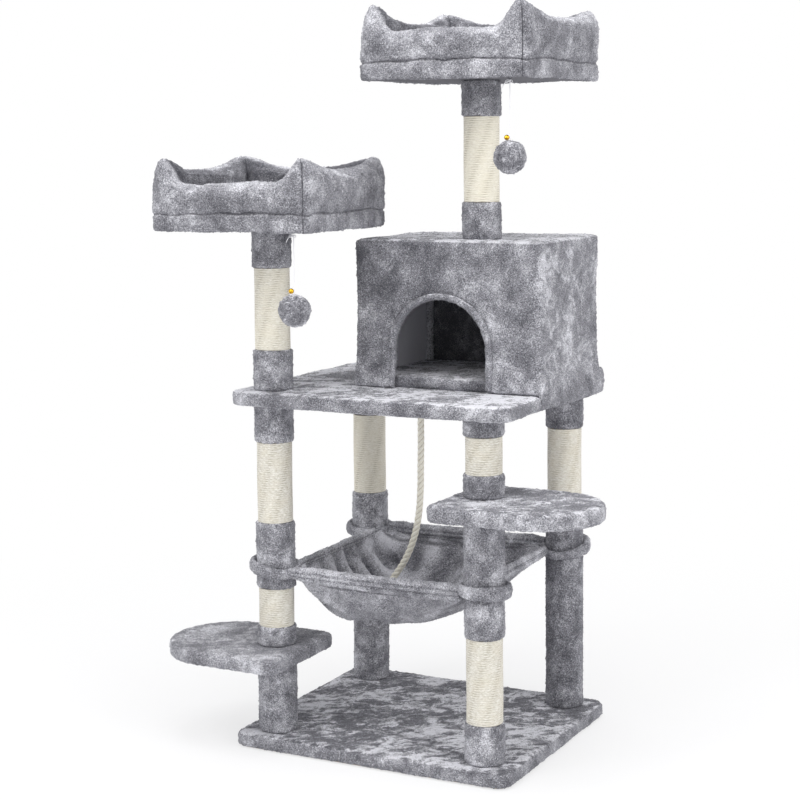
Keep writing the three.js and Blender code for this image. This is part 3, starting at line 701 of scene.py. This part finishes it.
def plush_board(node, seed, deep=0.0, hem=0.0, tone=0.0, edge=-0.04, material=PLUSH):
    """The plush over a board, from the CAD cover's shape. deep is how much further its pile stands
    out at the edges, hem how far it hangs below; tone and edge are painted light and shade, how much
    lighter the top and the edges are drawn."""
    made = placed(f"{node}_plush", frame["nodes"][node].data.copy())
    remesh(made, BOARD_CELL)
    sideways = normals_of(made) * (1, 1, 0)
    low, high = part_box(node)
    points = points_of(made) + deep * sideways
    below = ease(-points[:, 2], -(low[2] + high[2]) / 2, -low[2])
    points[:, 2] -= hem * below * np.linalg.norm(sideways, axis=1)
    set_points(made, points)
    fluff(made, seed)
    points = points_of(made)
    points[:, 2] = np.maximum(points[:, 2], low[2] - hem)
    set_points(made, points)
    paint_tone_and_light(made, tone + (edge - tone) * ease(np.linalg.norm(sideways, axis=1), 0.3, 0.9))
    return finished(made, material, "plush_boards", node)


plush_board("base_cover", 301, deep=1.5 * MM)
# painted light: the deck's top drawn lighter
plush_board("deck_cover", 311, deep=1.5 * MM, tone=0.27)
plush_board("lower_perch_cover", 321, 3 * MM, 3 * MM, edge=0.02, material=SOFT_PLUSH)
plush_board("side_perch_cover", 331, 4 * MM, 6 * MM, tone=0.03, edge=0.1, material=PERCH_PLUSH)

# ---------------- condo


CORNERS = ((1, -1), (1, 1), (-1, 1), (-1, -1))  # front right, back right, back left, front left


def corner_arc(index, reach, radius, steps):
    """Angles and points round one corner of a rectangle; reach is where its centre lies."""
    angle = np.radians(np.linspace(-90, 0, steps) + 90 * index)
    centre = np.array(CORNERS[index]) * reach
    return angle, centre + radius * np.column_stack([np.cos(angle), np.sin(angle)])


def rounded_outline(width, depth, radii, inset=0.0, steps=8):
    """Points round a rectangle with a radius for each corner, from the front right one on."""
    arcs = []
    for index, radius in enumerate(radii):
        radius = max(radius - inset, 1 * MM)
        reach = width / 2 - inset - radius, depth / 2 - inset - radius
        arcs.append(corner_arc(index, reach, radius, steps)[1])
    return np.concatenate(arcs)


def raised(name, rings):
    """A closed solid from rings of points, one above another."""
    return mesh_object(name, np.concatenate(rings), capped_faces(len(rings), len(rings[0])))


def at_height(outline, height):
    """An outline's points in space, at one height or at a height for each."""
    return np.column_stack([outline, np.full(len(outline), height)])


def block(name, outline, *heights):
    """A solid with one outline from its lower to its upper height."""
    return raised(name, [at_height(outline, height) for height in heights])


def upright(outline, x, y):
    """Points in space from an outline in X and Z, moved by x and set at y."""
    return np.column_stack([outline[:, 0] + x, np.full(len(outline), y), outline[:, 1]])


def arch_outline(half, top, foot, steps=24):
    """A doorway's outline in X and Z, from its right foot to its left one."""
    turn = np.linspace(0, np.pi, steps)
    arch = np.column_stack([half * np.cos(turn), top - half + half * np.sin(turn)])
    return np.concatenate([[[half, foot]], arch, [[-half, foot]]])


def cut_away(piece, *tools):
    for tool in tools:
        with_modifier(piece, "BOOLEAN", operation="DIFFERENCE", object=tool, solver="EXACT")
        bpy.data.objects.remove(tool)


WALL = 15 * MM
DOOR_WIDTH, DOOR_HEIGHT, DOOR_OFFSET = 206 * MM, 186 * MM, -13 * MM
CONDO_CORNERS = [20 * MM, 14 * MM, 14 * MM, 9 * MM]
CONDO_EDGE = 10 * MM  # how round the roof's edge is
CONDO_LEFT, CONDO_RIGHT = (corner[0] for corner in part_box("condo_front"))
CONDO_FOOT, CONDO_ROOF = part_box("condo_front")[0][2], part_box("condo_roof")[0][2]
CONDO_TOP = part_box("right_bed_post_foot_collar")[0][2]
CONDO_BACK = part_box("condo_back")[1][1]
CONDO_WIDTH = CONDO_RIGHT - CONDO_LEFT
CONDO_DEPTH = CONDO_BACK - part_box("condo_left")[0][1] + WALL
CONDO_FRONT = CONDO_BACK - CONDO_DEPTH
CONDO_MIDDLE = np.array([(CONDO_LEFT + CONDO_RIGHT) / 2, CONDO_FRONT + CONDO_DEPTH / 2])
DOOR_X = CONDO_MIDDLE[0] + DOOR_OFFSET


def condo_ring(height, inset):
    outline = rounded_outline(CONDO_WIDTH, CONDO_DEPTH, CONDO_CORNERS, inset)
    return at_height(outline + CONDO_MIDDLE, height)


def condo_walls():
    """A hollow box with rounded edges, open below, with an arched doorway."""
    rings = [condo_ring(CONDO_FOOT, 3 * MM), condo_ring(CONDO_FOOT + 4 * MM, 0)]
    for bend in np.linspace(0, np.pi / 2, 5):
        height = CONDO_TOP - CONDO_EDGE * (1 - math.sin(bend))
        rings.append(condo_ring(height, CONDO_EDGE * (1 - math.cos(bend))))
    shell = raised("condo_cover", rings)
    inside = rounded_outline(CONDO_WIDTH - 2 * WALL, CONDO_DEPTH - 2 * WALL, [6 * MM] * 4)
    inside += CONDO_MIDDLE
    below = CONDO_FOOT - 0.05
    hollow = block("hollow", inside, below, CONDO_ROOF)
    arch = arch_outline(DOOR_WIDTH / 2, CONDO_FOOT + DOOR_HEIGHT, below)
    ends = [upright(arch, DOOR_X, CONDO_FRONT + reach) for reach in (0.1, -0.1)]
    cut_away(shell, hollow, raised("doorway", ends))
    remesh(shell, BOARD_CELL, 3)
    return shell


def condo_cover():
    """The condo's plush: walls that draw in at mid height, a seam round the doorway, and painted light
    and shade: a lighter roof, edges and right side, a darker upper left and a dark inside.
    """
    shell = condo_walls()
    points = points_of(shell)
    rise = (points[:, 2] - CONDO_FOOT) / (CONDO_TOP - CONDO_FOOT)
    flare = 5 * MM * np.exp(-((rise - 0.05) / 0.09) ** 2)
    waist = 3.5 * MM * np.sin(np.pi * np.clip(rise, 0, 1)) ** 0.7
    outward = points[:, :2] - CONDO_MIDDLE
    outward /= np.linalg.norm(outward, axis=1)[:, None]
    on_wall = np.abs(normals_of(shell)[:, 2]) < 0.5
    points[:, :2] += outward * ((flare - waist) * on_wall)[:, None]
    set_points(shell, points)

    over_arch = np.maximum(points[:, 2] - CONDO_FOOT - DOOR_HEIGHT + DOOR_WIDTH / 2, 0)
    seam = np.hypot(points[:, 0] - DOOR_X, over_arch) - DOOR_WIDTH / 2 - 10.5 * MM
    on_front = (points[:, 1] < CONDO_FRONT + 8 * MM) & (seam > -4 * MM)
    puff(shell, -2.2 * MM * np.exp(-((seam / (3 * MM)) ** 2)) * on_front)
    # the seam's dark line round the doorway: partly the seam itself, partly painted shade in its
    # groove
    mark(shell, "seam_shade_level", np.where(on_front, SEAM_BASE + 1.3 + np.abs(seam) / MM, 0))

    points = points_of(shell)
    flat = points - (*CONDO_MIDDLE, 0)
    within = np.minimum(CONDO_WIDTH / 2 - np.abs(flat[:, 0]), CONDO_DEPTH / 2 - np.abs(flat[:, 1]))
    outside = 1 - ease(np.minimum(within, CONDO_TOP - points[:, 2]), 8 * MM, 13 * MM)
    normals = normals_of(shell)
    edges = ease(np.sort(np.abs(normals), axis=1)[:, 1], 0.3, 0.7)
    painted_shade_to_left = ease(-flat[:, 0], -0.5 * CONDO_WIDTH, 0.4 * CONDO_WIDTH)
    to_right = ease(normals[:, 0], 0.5, 0.9)
    # painted light and shade: edges lighter as a painted sheen, the upper left darker, the roof and
    # right side lighter, the inside dark
    tone = 0.06 * edges - 0.16 * ease(rise, 0.1, 0.8) * painted_shade_to_left
    tone += 0.42 * ease(normals[:, 2], 0.5, 0.9) + 0.02 * to_right
    tone = tone * outside - 0.3 * (1 - outside)
    mark(shell, "ruffled", 0.26 * to_right * outside)
    walls = [f"condo_{wall}" for wall in ("front", "back", "left", "right", "roof")]
    plush(shell, 401, tone, PLUSH, "plush_boards", *walls, sway=1.5 * MM)


def condo_doorway():
    top = CONDO_FOOT + DOOR_HEIGHT + 3 * MM
    line = arch_outline(DOOR_WIDTH / 2 + 3 * MM, top, CONDO_FOOT + 7 * MM, 60)
    path = spline(upright(line, DOOR_X, CONDO_FRONT + 2 * MM)[::3], 220)
    trim = tube("condo_doorway_trim", path, 6.5 * MM, 24)
    plush(trim, 441, -0.04, PLUSH, "plush_boards", pile=1.3 * MM)


def condo_lining():
    """What the doorway shows: a smooth panel on the left and plush in the back corner."""
    low = np.array([CONDO_LEFT + WALL + 5 * MM, CONDO_FRONT + WALL + 4 * MM, CONDO_FOOT + 20 * MM])
    high = np.array([low[0] + 3 * MM, CONDO_BACK - WALL - 16 * MM, CONDO_ROOF - 2 * MM])
    plan = rounded_outline(*(high - low)[:2], [1 * MM] * 4) + (low + high)[:2] / 2
    liner = block("condo_left_liner", plan, low[2], high[2])
    remesh(liner, 1.5 * MM, 0)
    finished(liner, LINER, "plush_boards")
    corner = [low[0] + 6 * MM, CONDO_BACK - WALL - 8 * MM]
    line = np.array([[*corner, z] for z in np.linspace(low[2], CONDO_ROOF, 80)])
    plush(tube("condo_corner_strip", line, 9 * MM, 20), 451, 0.3, PLUSH, "plush_boards")


def condo_hem():
    """The right wall's plush, drawn over the deck's edge, slimmer to the front."""
    depth = np.linspace(CONDO_FRONT + 3 * MM, CONDO_BACK + 10 * MM, 150)
    line = np.array([[CONDO_RIGHT - 2 * MM, y, CONDO_FOOT - 4 * MM] for y in depth])
    taper = 0.4 + 0.6 * ease(depth - CONDO_FRONT, 0, 90 * MM)
    reach = oval_reach(spokes(line, 40), 9 * MM, 27 * MM) * taper[:, None]
    plush(tube("condo_hem", line, reach, 40), 471, -0.02, PLUSH, "plush_boards", sway=2 * MM)


condo_cover()
condo_doorway()
condo_lining()
condo_hem()
# painted light: the condo floor's top drawn lighter
plush_board("condo_floor", 461, tone=0.35)

# ---------------- beds

BED_SIZE = {"left": 354 * MM, "right": 365 * MM}
BED_CORNER = 26 * MM
BED_BAND = 33 * MM  # underside to the seam under the bolster
BED_FLOOR = 44 * MM  # and to the pad
BED_WALL = 40 * MM  # how thick the bolster is
BED_FRONT, BED_SIDE = 99 * MM, 128 * MM  # how high its walls are midway
EAR_REACH = 56 * MM  # how far an ear's slope runs along the front
# mm that the ears stand above the CAD bolster's: front left, front right, back left, back right
EAR_RISE = {"left": (3, 3, 3, 3), "right": (-1, -2, 0, -6)}
EAR_LEAN = {"left": 5 * MM, "right": 10 * MM}  # how far the front left ear leans in


def bed_ring(size, inset, steps=8, along_steps=36):
    """Points round the bed's plan. For each: is it on the front, and its distance from a corner as
    a share of the side."""
    radius = max(BED_CORNER - inset, 3 * MM)
    reach = size / 2 - inset - radius
    points, fronts, shares = [], [], []
    for index in range(4):
        angle, arc = corner_arc(index, reach, radius, steps)
        nearer = np.sign(math.radians(-45 + 90 * index) - angle)  # 1 before the corner's middle
        share = np.linspace(0, 1, along_steps + 2)[1:-1]
        end = corner_arc((index + 1) % 4, reach, radius, steps)[1][0]
        points += [arc, arc[-1] + (end - arc[-1]) * share[:, None]]
        fronts += [nearer == {0: 1, 3: -1}.get(index, 0), np.full(along_steps, index == 3)]
        shares += [np.zeros(steps), np.minimum(share, 1 - share)]
    return np.concatenate(points), np.concatenate(fronts), np.concatenate(shares)


def bed_wall_top(size, ear, fronts, shares):
    """Ears at the corners; between them the front is low and level, the others dip."""
    reach = (EAR_REACH - BED_CORNER) / (size - 2 * BED_CORNER)
    front = ear + (BED_FRONT - ear) * ease(shares, 0, reach)
    others = BED_SIDE + (ear - BED_SIDE) * (1 - 2 * shares) ** 2
    return np.where(fronts, front, others)


def bolster_levels(top):
    """The bolster's section from its hem over the wall to the pad: inset and height."""
    body = top - BED_BAND
    return [
        (8 * MM, -4 * MM),
        (3 * MM, -5 * MM),
        (0, 2 * MM),
        (0, BED_BAND - 4 * MM),
        (3 * MM, BED_BAND),
        (1 * MM, BED_BAND + 0.12 * body),
        (-0.5 * MM, BED_BAND + 0.5 * body),
        (2 * MM, BED_BAND + 0.78 * body),
        (8 * MM, BED_BAND + 0.94 * body),
        (0.45 * BED_WALL, top),
        (0.72 * BED_WALL, top - 5 * MM),
        (0.95 * BED_WALL, top - 24 * MM),
        (BED_WALL + 3 * MM, BED_FLOOR + 10 * MM),
        (BED_WALL + 14 * MM, BED_FLOOR),
        (BED_WALL + 60 * MM, BED_FLOOR + 4 * MM),
    ]


def swell(piece, pinned, pressure, cap, frames=20):
    """Lets a stuffed cover swell by cap at most, held where pinned is 1 and half held at 0.5."""
    group = piece.vertex_groups.new(name="held")
    for level in (1.0, 0.5):
        group.add(np.nonzero(pinned == level)[0].tolist(), level, "REPLACE")
    cloth = piece.modifiers.new("Cloth", "CLOTH").settings
    adjust(cloth, vertex_group_mass="held", use_pressure=True, uniform_pressure_force=pressure)
    adjust(cloth, shrink_min=-0.035, quality=5, mass=0.15, bending_stiffness=0.3)
    adjust(cloth, tension_stiffness=12, compression_stiffness=12)
    cloth.effector_weights.gravity = 0
    before = points_of(piece)
    scene = bpy.context.scene
    for step in range(1, frames + 1):
        scene.frame_set(step)
    shift = numbers_of(evaluated(piece).data.vertices, "co", 3) - before
    length = np.linalg.norm(shift, axis=1)[:, None]
    shift *= np.minimum(1, cap / np.maximum(length, 1e-9))
    piece.modifiers.clear()
    piece.vertex_groups.clear()
    scene.frame_set(1)
    set_points(piece, before + shift)


def bed_shape(side, size, tip):
    """The bed's cover before it swells, about its own middle, on its underside; tip is the ears'
    height."""
    plan, fronts, shares = bed_ring(size, 0)
    quadrant = 2 * (plan[:, 1] > 0) + (plan[:, 0] > 0)
    top = bed_wall_top(size, tip + np.array(EAR_RISE[side])[quadrant] * MM, fronts, shares)
    window = np.hanning(9)[1:-1]
    top = np.convolve(np.concatenate([top[-3:], top, top[:3]]), window / window.sum(), "valid")
    rings = []
    for inset, height in bolster_levels(top):
        plan, _, _ = bed_ring(size - 1 * MM, inset)
        at_ear = ease(-plan.sum(axis=1), 0.6 * size, 0.97 * size)
        plan[:, 0] += EAR_LEAN[side] * at_ear * ease(height, BED_BAND, tip)
        rings.append(at_height(plan, height))
    made = raised(f"{side}_bed_cover", rings)
    recess = size - 18 * MM
    board = rounded_outline(recess, recess, [17 * MM] * 4)
    cut_away(made, block("board", board, -0.05, 18 * MM))
    remesh(made, BED_CELL, 1)
    return made


def from_corner(points):
    """How far points lie past a bed's diagonals, and how far out they are."""
    flat = np.abs(points[:, :2])
    return flat[:, 0] - flat[:, 1], flat.max(axis=1)


def bed(side, turn, seed):
    """A bolster bed: stuffed walls with eared corners round a pad, over a band round the board."""
    name, size = f"{side}_bed_bolster", BED_SIZE[side]
    low, high = box_of(f"{side}_bed_board")
    underside, tip = (corner[2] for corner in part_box(name))
    made = bed_shape(side, size, tip - underside)
    points = points_of(made)
    across, outer = from_corner(points)
    on_wall = outer > size / 2 - 52 * MM
    pinned = np.where(on_wall, 0.0, 0.5)
    pinned[(points[:, 2] < BED_BAND + 4 * MM) | (on_wall & (np.abs(across) < 5 * MM))] = 1.0
    swell(made, pinned, pressure=4.0, cap=10 * MM)
    relax(made, 1, 0.4)
    with_modifier(made, "SUBSURF", levels=1, render_levels=1)

    points = points_of(made)
    across, outer = from_corner(points)
    on_wall, outside = outer > size / 2 - 60 * MM, outer > size / 2 - 18 * MM
    flat = points * (1, 1, 0)
    wave = 3.5 * MM * noise(flat, 45 * MM, seed) + 1.5 * MM * noise(flat, 18 * MM, seed + 9)
    level = points[:, 2] - (BED_BAND + wave)
    groove = 3.2 * MM * np.exp(-((level / (3.0 * MM)) ** 2)) * outside
    groove += 3.0 * MM * np.exp(-((across / (3.2 * MM)) ** 2)) * on_wall * (points[:, 2] > 2 * MM)
    overhang = 2.2 * MM * np.exp(-(((level - 9 * MM) / (7 * MM)) ** 2)) * outside
    puff(made, overhang - groove)
    relax(made, 1, 0.3)
    # the seams' dark lines: partly the seams, partly painted shade under the bolster's overhang and in
    # the corner creases
    mark(made, "seam_shade_level", np.where(outside, SEAM_BASE + level / MM, 0))
    mark(made, "seam_shade_upright", np.where(on_wall, SEAM_BASE + across / MM, 0))
    # painted light and shade: faces that look up drawn lighter and the inside of the bolster darker
    inside = ease(size / 2 - outer, 0.5 * BED_WALL, 0.9 * BED_WALL)
    paint_tone_and_light(made, 0.14 * ease(normals_of(made)[:, 2], 0.2, 0.8) * (1 - inside) - 0.32 * inside)
    fluff(made, seed, sway=2.0 * MM)
    points = points_of(made)
    turn = math.radians(turn)
    spin = np.array([[math.cos(turn), math.sin(turn)], [-math.sin(turn), math.cos(turn)]])
    points[:, :2] = points[:, :2] @ spin + (low + high)[:2] / 2
    points[:, 2] += underside
    set_points(made, points)
    finished(made, SOFT_PLUSH, "bolster_plush", name)


bed("left", 1, 511)
bed("right", -2, 531)

# ---------------- hammock

POST_X, POST_Y = 234 * MM, 204 * MM
HAMMOCK_HEIGHT = 371 * MM
HAMMOCK_SIDE_X, HAMMOCK_RAIL_Y = POST_X - 29 * MM, POST_Y - 6 * MM
HAMMOCK_SAG, HAMMOCK_SIDE_SAG = 125 * MM, 5 * MM
HAMMOCK_FRONT_SAG, HAMMOCK_BACK_RISE = 16 * MM, 4 * MM
HAMMOCK_LOW_X = -69 * MM
HAMMOCK_CLOTH = 7 * MM


def hammock_drop(x, y):
    """How far the cloth hangs below its rolled edges' height."""
    left = x < HAMMOCK_LOW_X
    reach = HAMMOCK_SIDE_X + np.where(left, HAMMOCK_LOW_X, -HAMMOCK_LOW_X)
    steepness = np.where(left, 4.5, 2.7)
    u = np.clip(np.abs((x - HAMMOCK_LOW_X) / reach), 0, 1) ** steepness
    v = np.clip(np.abs(y / HAMMOCK_RAIL_Y), 0, 1) ** 4
    rail = np.where(y < 0, HAMMOCK_FRONT_SAG, -HAMMOCK_BACK_RISE) * (1 - (x / POST_X) ** 4)
    return rail * v + (HAMMOCK_SAG * (1 - u) + HAMMOCK_SIDE_SAG * u) * (1 - v)


def hammock_folds(x, y, seed):
    """How far folds stand out: narrow ones run down from the gathered left edge, wide ones from
    the right and back."""
    flat = np.column_stack([x, y, 0 * x])
    sway = noise(flat, 110 * MM, seed)
    strength = 1 + 0.5 * noise(flat, 70 * MM, seed + 1)
    slant = (y - 0.3 * x) / (8.6 * MM)
    left = 13 * MM * ease(-x, 60 * MM, 150 * MM) * np.sin(slant + 1.2 * sway)
    right = 6 * MM * ease(x, 60 * MM, 160 * MM) * np.sin(y / (12 * MM) + 2 * sway)
    ends = 7 * MM * ease(np.abs(y), 70 * MM, 150 * MM) * np.sin(x / (14 * MM) + 2.5 * sway)
    middle = ease(HAMMOCK_SIDE_X - np.abs(x), 30 * MM, 110 * MM)
    folds = strength * (left + right + ends * middle) + 3.5 * MM * noise(flat, 55 * MM, seed + 2)
    rim = np.minimum(HAMMOCK_SIDE_X - np.abs(x), HAMMOCK_RAIL_Y - np.abs(y))
    return folds * (0.25 + 0.75 * ease(rim, 0, 30 * MM))


def hammock_cloth():
    """The slung cloth: two layers joined at the rim, with painted light and shade and a stitched hem.
    """
    columns, rows = 190, 180
    count = columns * rows
    s, t = np.meshgrid(np.linspace(-1, 1, columns), np.linspace(-1, 1, rows))
    s, t = s.ravel(), t.ravel()
    x, y = HAMMOCK_SIDE_X * s, HAMMOCK_RAIL_Y * t
    surface = np.column_stack([x, y, HAMMOCK_HEIGHT - hammock_drop(x, y)])
    grid = surface.reshape(rows, columns, 3)
    upward = np.cross(np.gradient(grid, axis=1), np.gradient(grid, axis=0)).reshape(-1, 3)
    upward /= np.linalg.norm(upward, axis=1)[:, None]
    folds = hammock_folds(x, y, 601)
    corner = 22 * MM * np.abs(s * t) ** 9
    surface -= np.column_stack([np.sign(s) * corner, np.sign(t) * corner, 0 * corner])
    top = surface + upward * (folds + HAMMOCK_CLOTH / 2)[:, None]
    bottom = surface + upward * (0.55 * folds - HAMMOCK_CLOTH / 2)[:, None]
    cell = np.arange(count).reshape(rows, columns)
    corners = [cell[:-1, :-1], cell[:-1, 1:], cell[1:, 1:], cell[1:, :-1]]
    upper = np.stack(corners, axis=-1).reshape(-1, 4)
    lower = upper[:, ::-1] + count
    border = np.concatenate([cell[0, :-1], cell[:-1, -1], cell[-1, :0:-1], cell[:0:-1, 0]])
    following = np.roll(border, -1)
    rim = np.stack([border, border + count, following + count, following], axis=-1)
    faces = np.concatenate([upper, lower, rim])
    made = mesh_object("hammock_cloth", np.concatenate([top, bottom]), faces)
    # painted light and shade: fold ridges lighter and valleys darker, the left side lighter, the
    # underside layer lighter; deep adds random light and dark patches
    ridges = np.clip(folds / (9 * MM), -1, 1)
    left = ease(-x, 20 * MM, 120 * MM)
    deep = 0.42 * noise(np.column_stack([x, y, 0 * x]), 48 * MM, 607)
    inner = (0.24 + 0.26 * ridges) * left + (0.02 + 0.16 * ridges + deep) * (1 - left)
    paint_tone_and_light(made, np.concatenate([inner, 0 * ridges + 0.12]))
    # the hem's dark line, under the rolled edges: partly stitching, partly painted shade under the
    # rolls
    hem = (HAMMOCK_RAIL_Y - np.abs(y)) / MM - 9 - 2 * folds / (9 * MM)
    mark(made, "seam_shade_level", SEAM_BASE + np.concatenate([hem, hem]))
    return made


def rolled_edge(name, start, end, wide, tall_ends, bow, seed):
    """The rolled and stitched edge along one side of the hammock. Near its ends it swings out by
    bow to meet the bands round the posts. In mm: bow, and half the roll's width and its heights
    at the two ends."""
    steps, around = 170, 36
    wide, bow = wide * MM, bow * MM
    share = np.linspace(0, 1, steps)[:, None]
    to_end = np.minimum(share, 1 - share)
    plan = np.array(start) * (1 - share) + np.array(end) * share
    plan[:, 1:] += bow * (1 - ease(to_end, 0, 0.16))
    route = np.column_stack([plan, HAMMOCK_HEIGHT - hammock_drop(plan[:, 0], plan[:, 1])])
    directions = spokes(route, around)
    tall = (tall_ends[0] + (tall_ends[1] - tall_ends[0]) * share) * MM
    reach = (0.8 + 0.2 * ease(to_end, 0, 0.1)) * oval_reach(directions, wide, tall)
    rise = directions[..., 2]
    crease = sum(np.exp(-(((rise - stitched) / 0.15) ** 2)) for stitched in (0.42, -0.35))
    made = tube(name, route, reach - 2.8 * MM * crease, around)
    # painted light and shade: the roll drawn lighter all over and darker along its two stitched
    # creases
    tone = 0.18 - 0.25 * crease.ravel()
    return plush(made, seed, tone, SOFT_PLUSH, "hammock_plush", pile=1.6 * MM, sway=2.2 * MM)


def hammock_loop(name, post, lean, tall, seed):
    """A stuffed band round a post, thicker and taller on its outside. In mm: lean, which lifts one
    side, in X and Y, and tall, half its height."""
    around, section = 110, 40
    turn, angle = circle(section), circle(around)[:, None]
    cos, sin = np.cos(angle), np.sin(angle)
    outward = np.cos(angle - math.atan2(post[1], post[0]))
    waver = noise(np.column_stack([cos, sin, 0 * angle]), 0.9, seed + 3)[:, None]
    thick = 6.4 * MM + 1.2 * MM * outward
    radius = 39.8 * MM + thick + thick * np.sign(np.cos(turn)) * np.abs(np.cos(turn)) ** 0.8
    tall = (tall + 2.0 * outward) * MM
    middle = HAMMOCK_HEIGHT + (2 * waver + lean[0] * cos + lean[1] * sin) * MM
    height = middle + tall * np.sign(np.sin(turn)) * np.abs(np.sin(turn)) ** 0.9
    points = np.stack([post[0] + radius * cos, post[1] + radius * sin, height], axis=-1)
    made = mesh_object(name, points.reshape(-1, 3), ring_faces(around, section, closed=True))
    return plush(made, seed, 0.06, SOFT_PLUSH, "hammock_plush", pile=1.6 * MM, sway=2.0 * MM)


def hammock():
    sheet = hammock_cloth()
    fluff(sheet, 611, sway=0.3 * MM)
    finished(sheet, SOFT_PLUSH, "hammock_plush", "hammock")
    rail_end, side_end = POST_X - 46 * MM, POST_Y - 37 * MM
    x, y = HAMMOCK_SIDE_X, HAMMOCK_RAIL_Y
    edges = [
        ("front_roll", (-rail_end, -y), (rail_end, -y), 14, (16, 18), -16, 639),
        ("back_roll", (-rail_end, y), (rail_end, y), 14, (17, 17), 12, 641),
        ("left_strip", (-x, -side_end), (-x, side_end), 8, (12, 13), 0, 649),
        ("right_strip", (x, -side_end), (x, side_end), 6, (16, 12), 0, 651),
    ]
    trims = [rolled_edge(f"hammock_{name}", *settings) for name, *settings in edges]
    loops = [
        ("front_left", (-1, -1), (-8, 3), 9.8),
        ("front_right", (1, -1), (0, 0), 12),
        ("back_left", (-1, 1), (0, 3), 11.5),
        ("back_right", (1, 1), (3, 9), 10.5),
    ]
    for index, (corner, side, lean, tall) in enumerate(loops):
        post = side[0] * POST_X, side[1] * POST_Y
        trims.append(hammock_loop(f"hammock_{corner}_loop", post, lean, tall, 660 + 7 * index))


hammock()

# ---------------- frame nodes that stay in sight

for node, part in frame["nodes"].items():
    if node.endswith(("_core", "_board")):
        part.data.materials.clear()
        # the beds' boards take the dark underside cloth, painted shade under the beds
        bare = UNDERSIDE_SHADE_CLOTH if "_bed_" in node else CHIPS
        part.data.materials.append(CARDBOARD if node.endswith("_core") else bare)

# ---------------- stage and light


def floor():
    """A wide pale floor that keeps a soft shadow and is white to the camera."""
    span = 12.0
    corners = [(x * span, y * span, -0.4 * MM) for x, y in ((-1, -1), (1, -1), (1, 1), (-1, 1))]
    made = mesh_object("floor", corners, [[0, 1, 2, 3]])
    n = Nodes("pale_floor")
    n.set(Base_Color=srgb(246, 246, 248), Roughness=0.9, Specular_IOR_Level=0.0)
    seen = n.add("LightPath").outputs["Is Camera Ray"]
    far = n.add("VectorMath", {0: n.place()}, operation="LENGTH").outputs["Value"]
    share = n.math("MULTIPLY", seen, n.range(far, 0.5, 2.0, 0.65, 1.0))
    glow = n.add("Emission", {"Color": (1, 1, 1, 1), "Strength": 1.0})
    mixed = n.add("MixShader", {0: share, 1: n.shader.outputs[0], 2: glow.outputs[0]})
    output = n.tree.nodes["Material Output"]
    n.tree.links.new(mixed.outputs[0], output.inputs["Surface"])
    made.data.materials.append(n.made)


def world(strength):
    """Even light all round; seen directly, in a reflection or through glass it is white."""
    n = Nodes("studio", bpy.data.worlds)
    bpy.context.scene.world = n.made
    rays = n.add("LightPath").outputs
    direct = n.math("MAXIMUM", rays["Is Camera Ray"], rays["Is Glossy Ray"])
    direct = n.math("MAXIMUM", direct, rays["Is Transmission Ray"])
    level = n.add("MapRange", {0: direct, 3: strength}).outputs[0]
    background = n.tree.nodes["Background"]
    n.feed(background.inputs["Color"], (1, 1, 1, 1))
    n.feed(background.inputs["Strength"], level)


def softbox(name, place, target, size, power):
    """A square lamp of size metres and power watts, aimed at target."""
    data = adjust(bpy.data.lights.new(name, "AREA"), shape="SQUARE", size=size, energy=power)
    turn = (Vector(target) - Vector(place)).to_track_quat("-Z", "Y").to_euler()
    adjust(placed(name, data), location=place, rotation_euler=turn)


floor()
world(0.76)
softbox("key_light", (-0.9, -2.6, 3.4), (0, 0, 0.8), 1.6, 35)
softbox("fill_light", (2.8, -1.0, 2.2), (0, 0, 0.8), 1.6, 27)
softbox("top_light", (0.3, -0.8, 3.6), (0, 0, 0.6), 1.8, 42)

bpy.context.scene.view_settings.view_transform = "Standard"
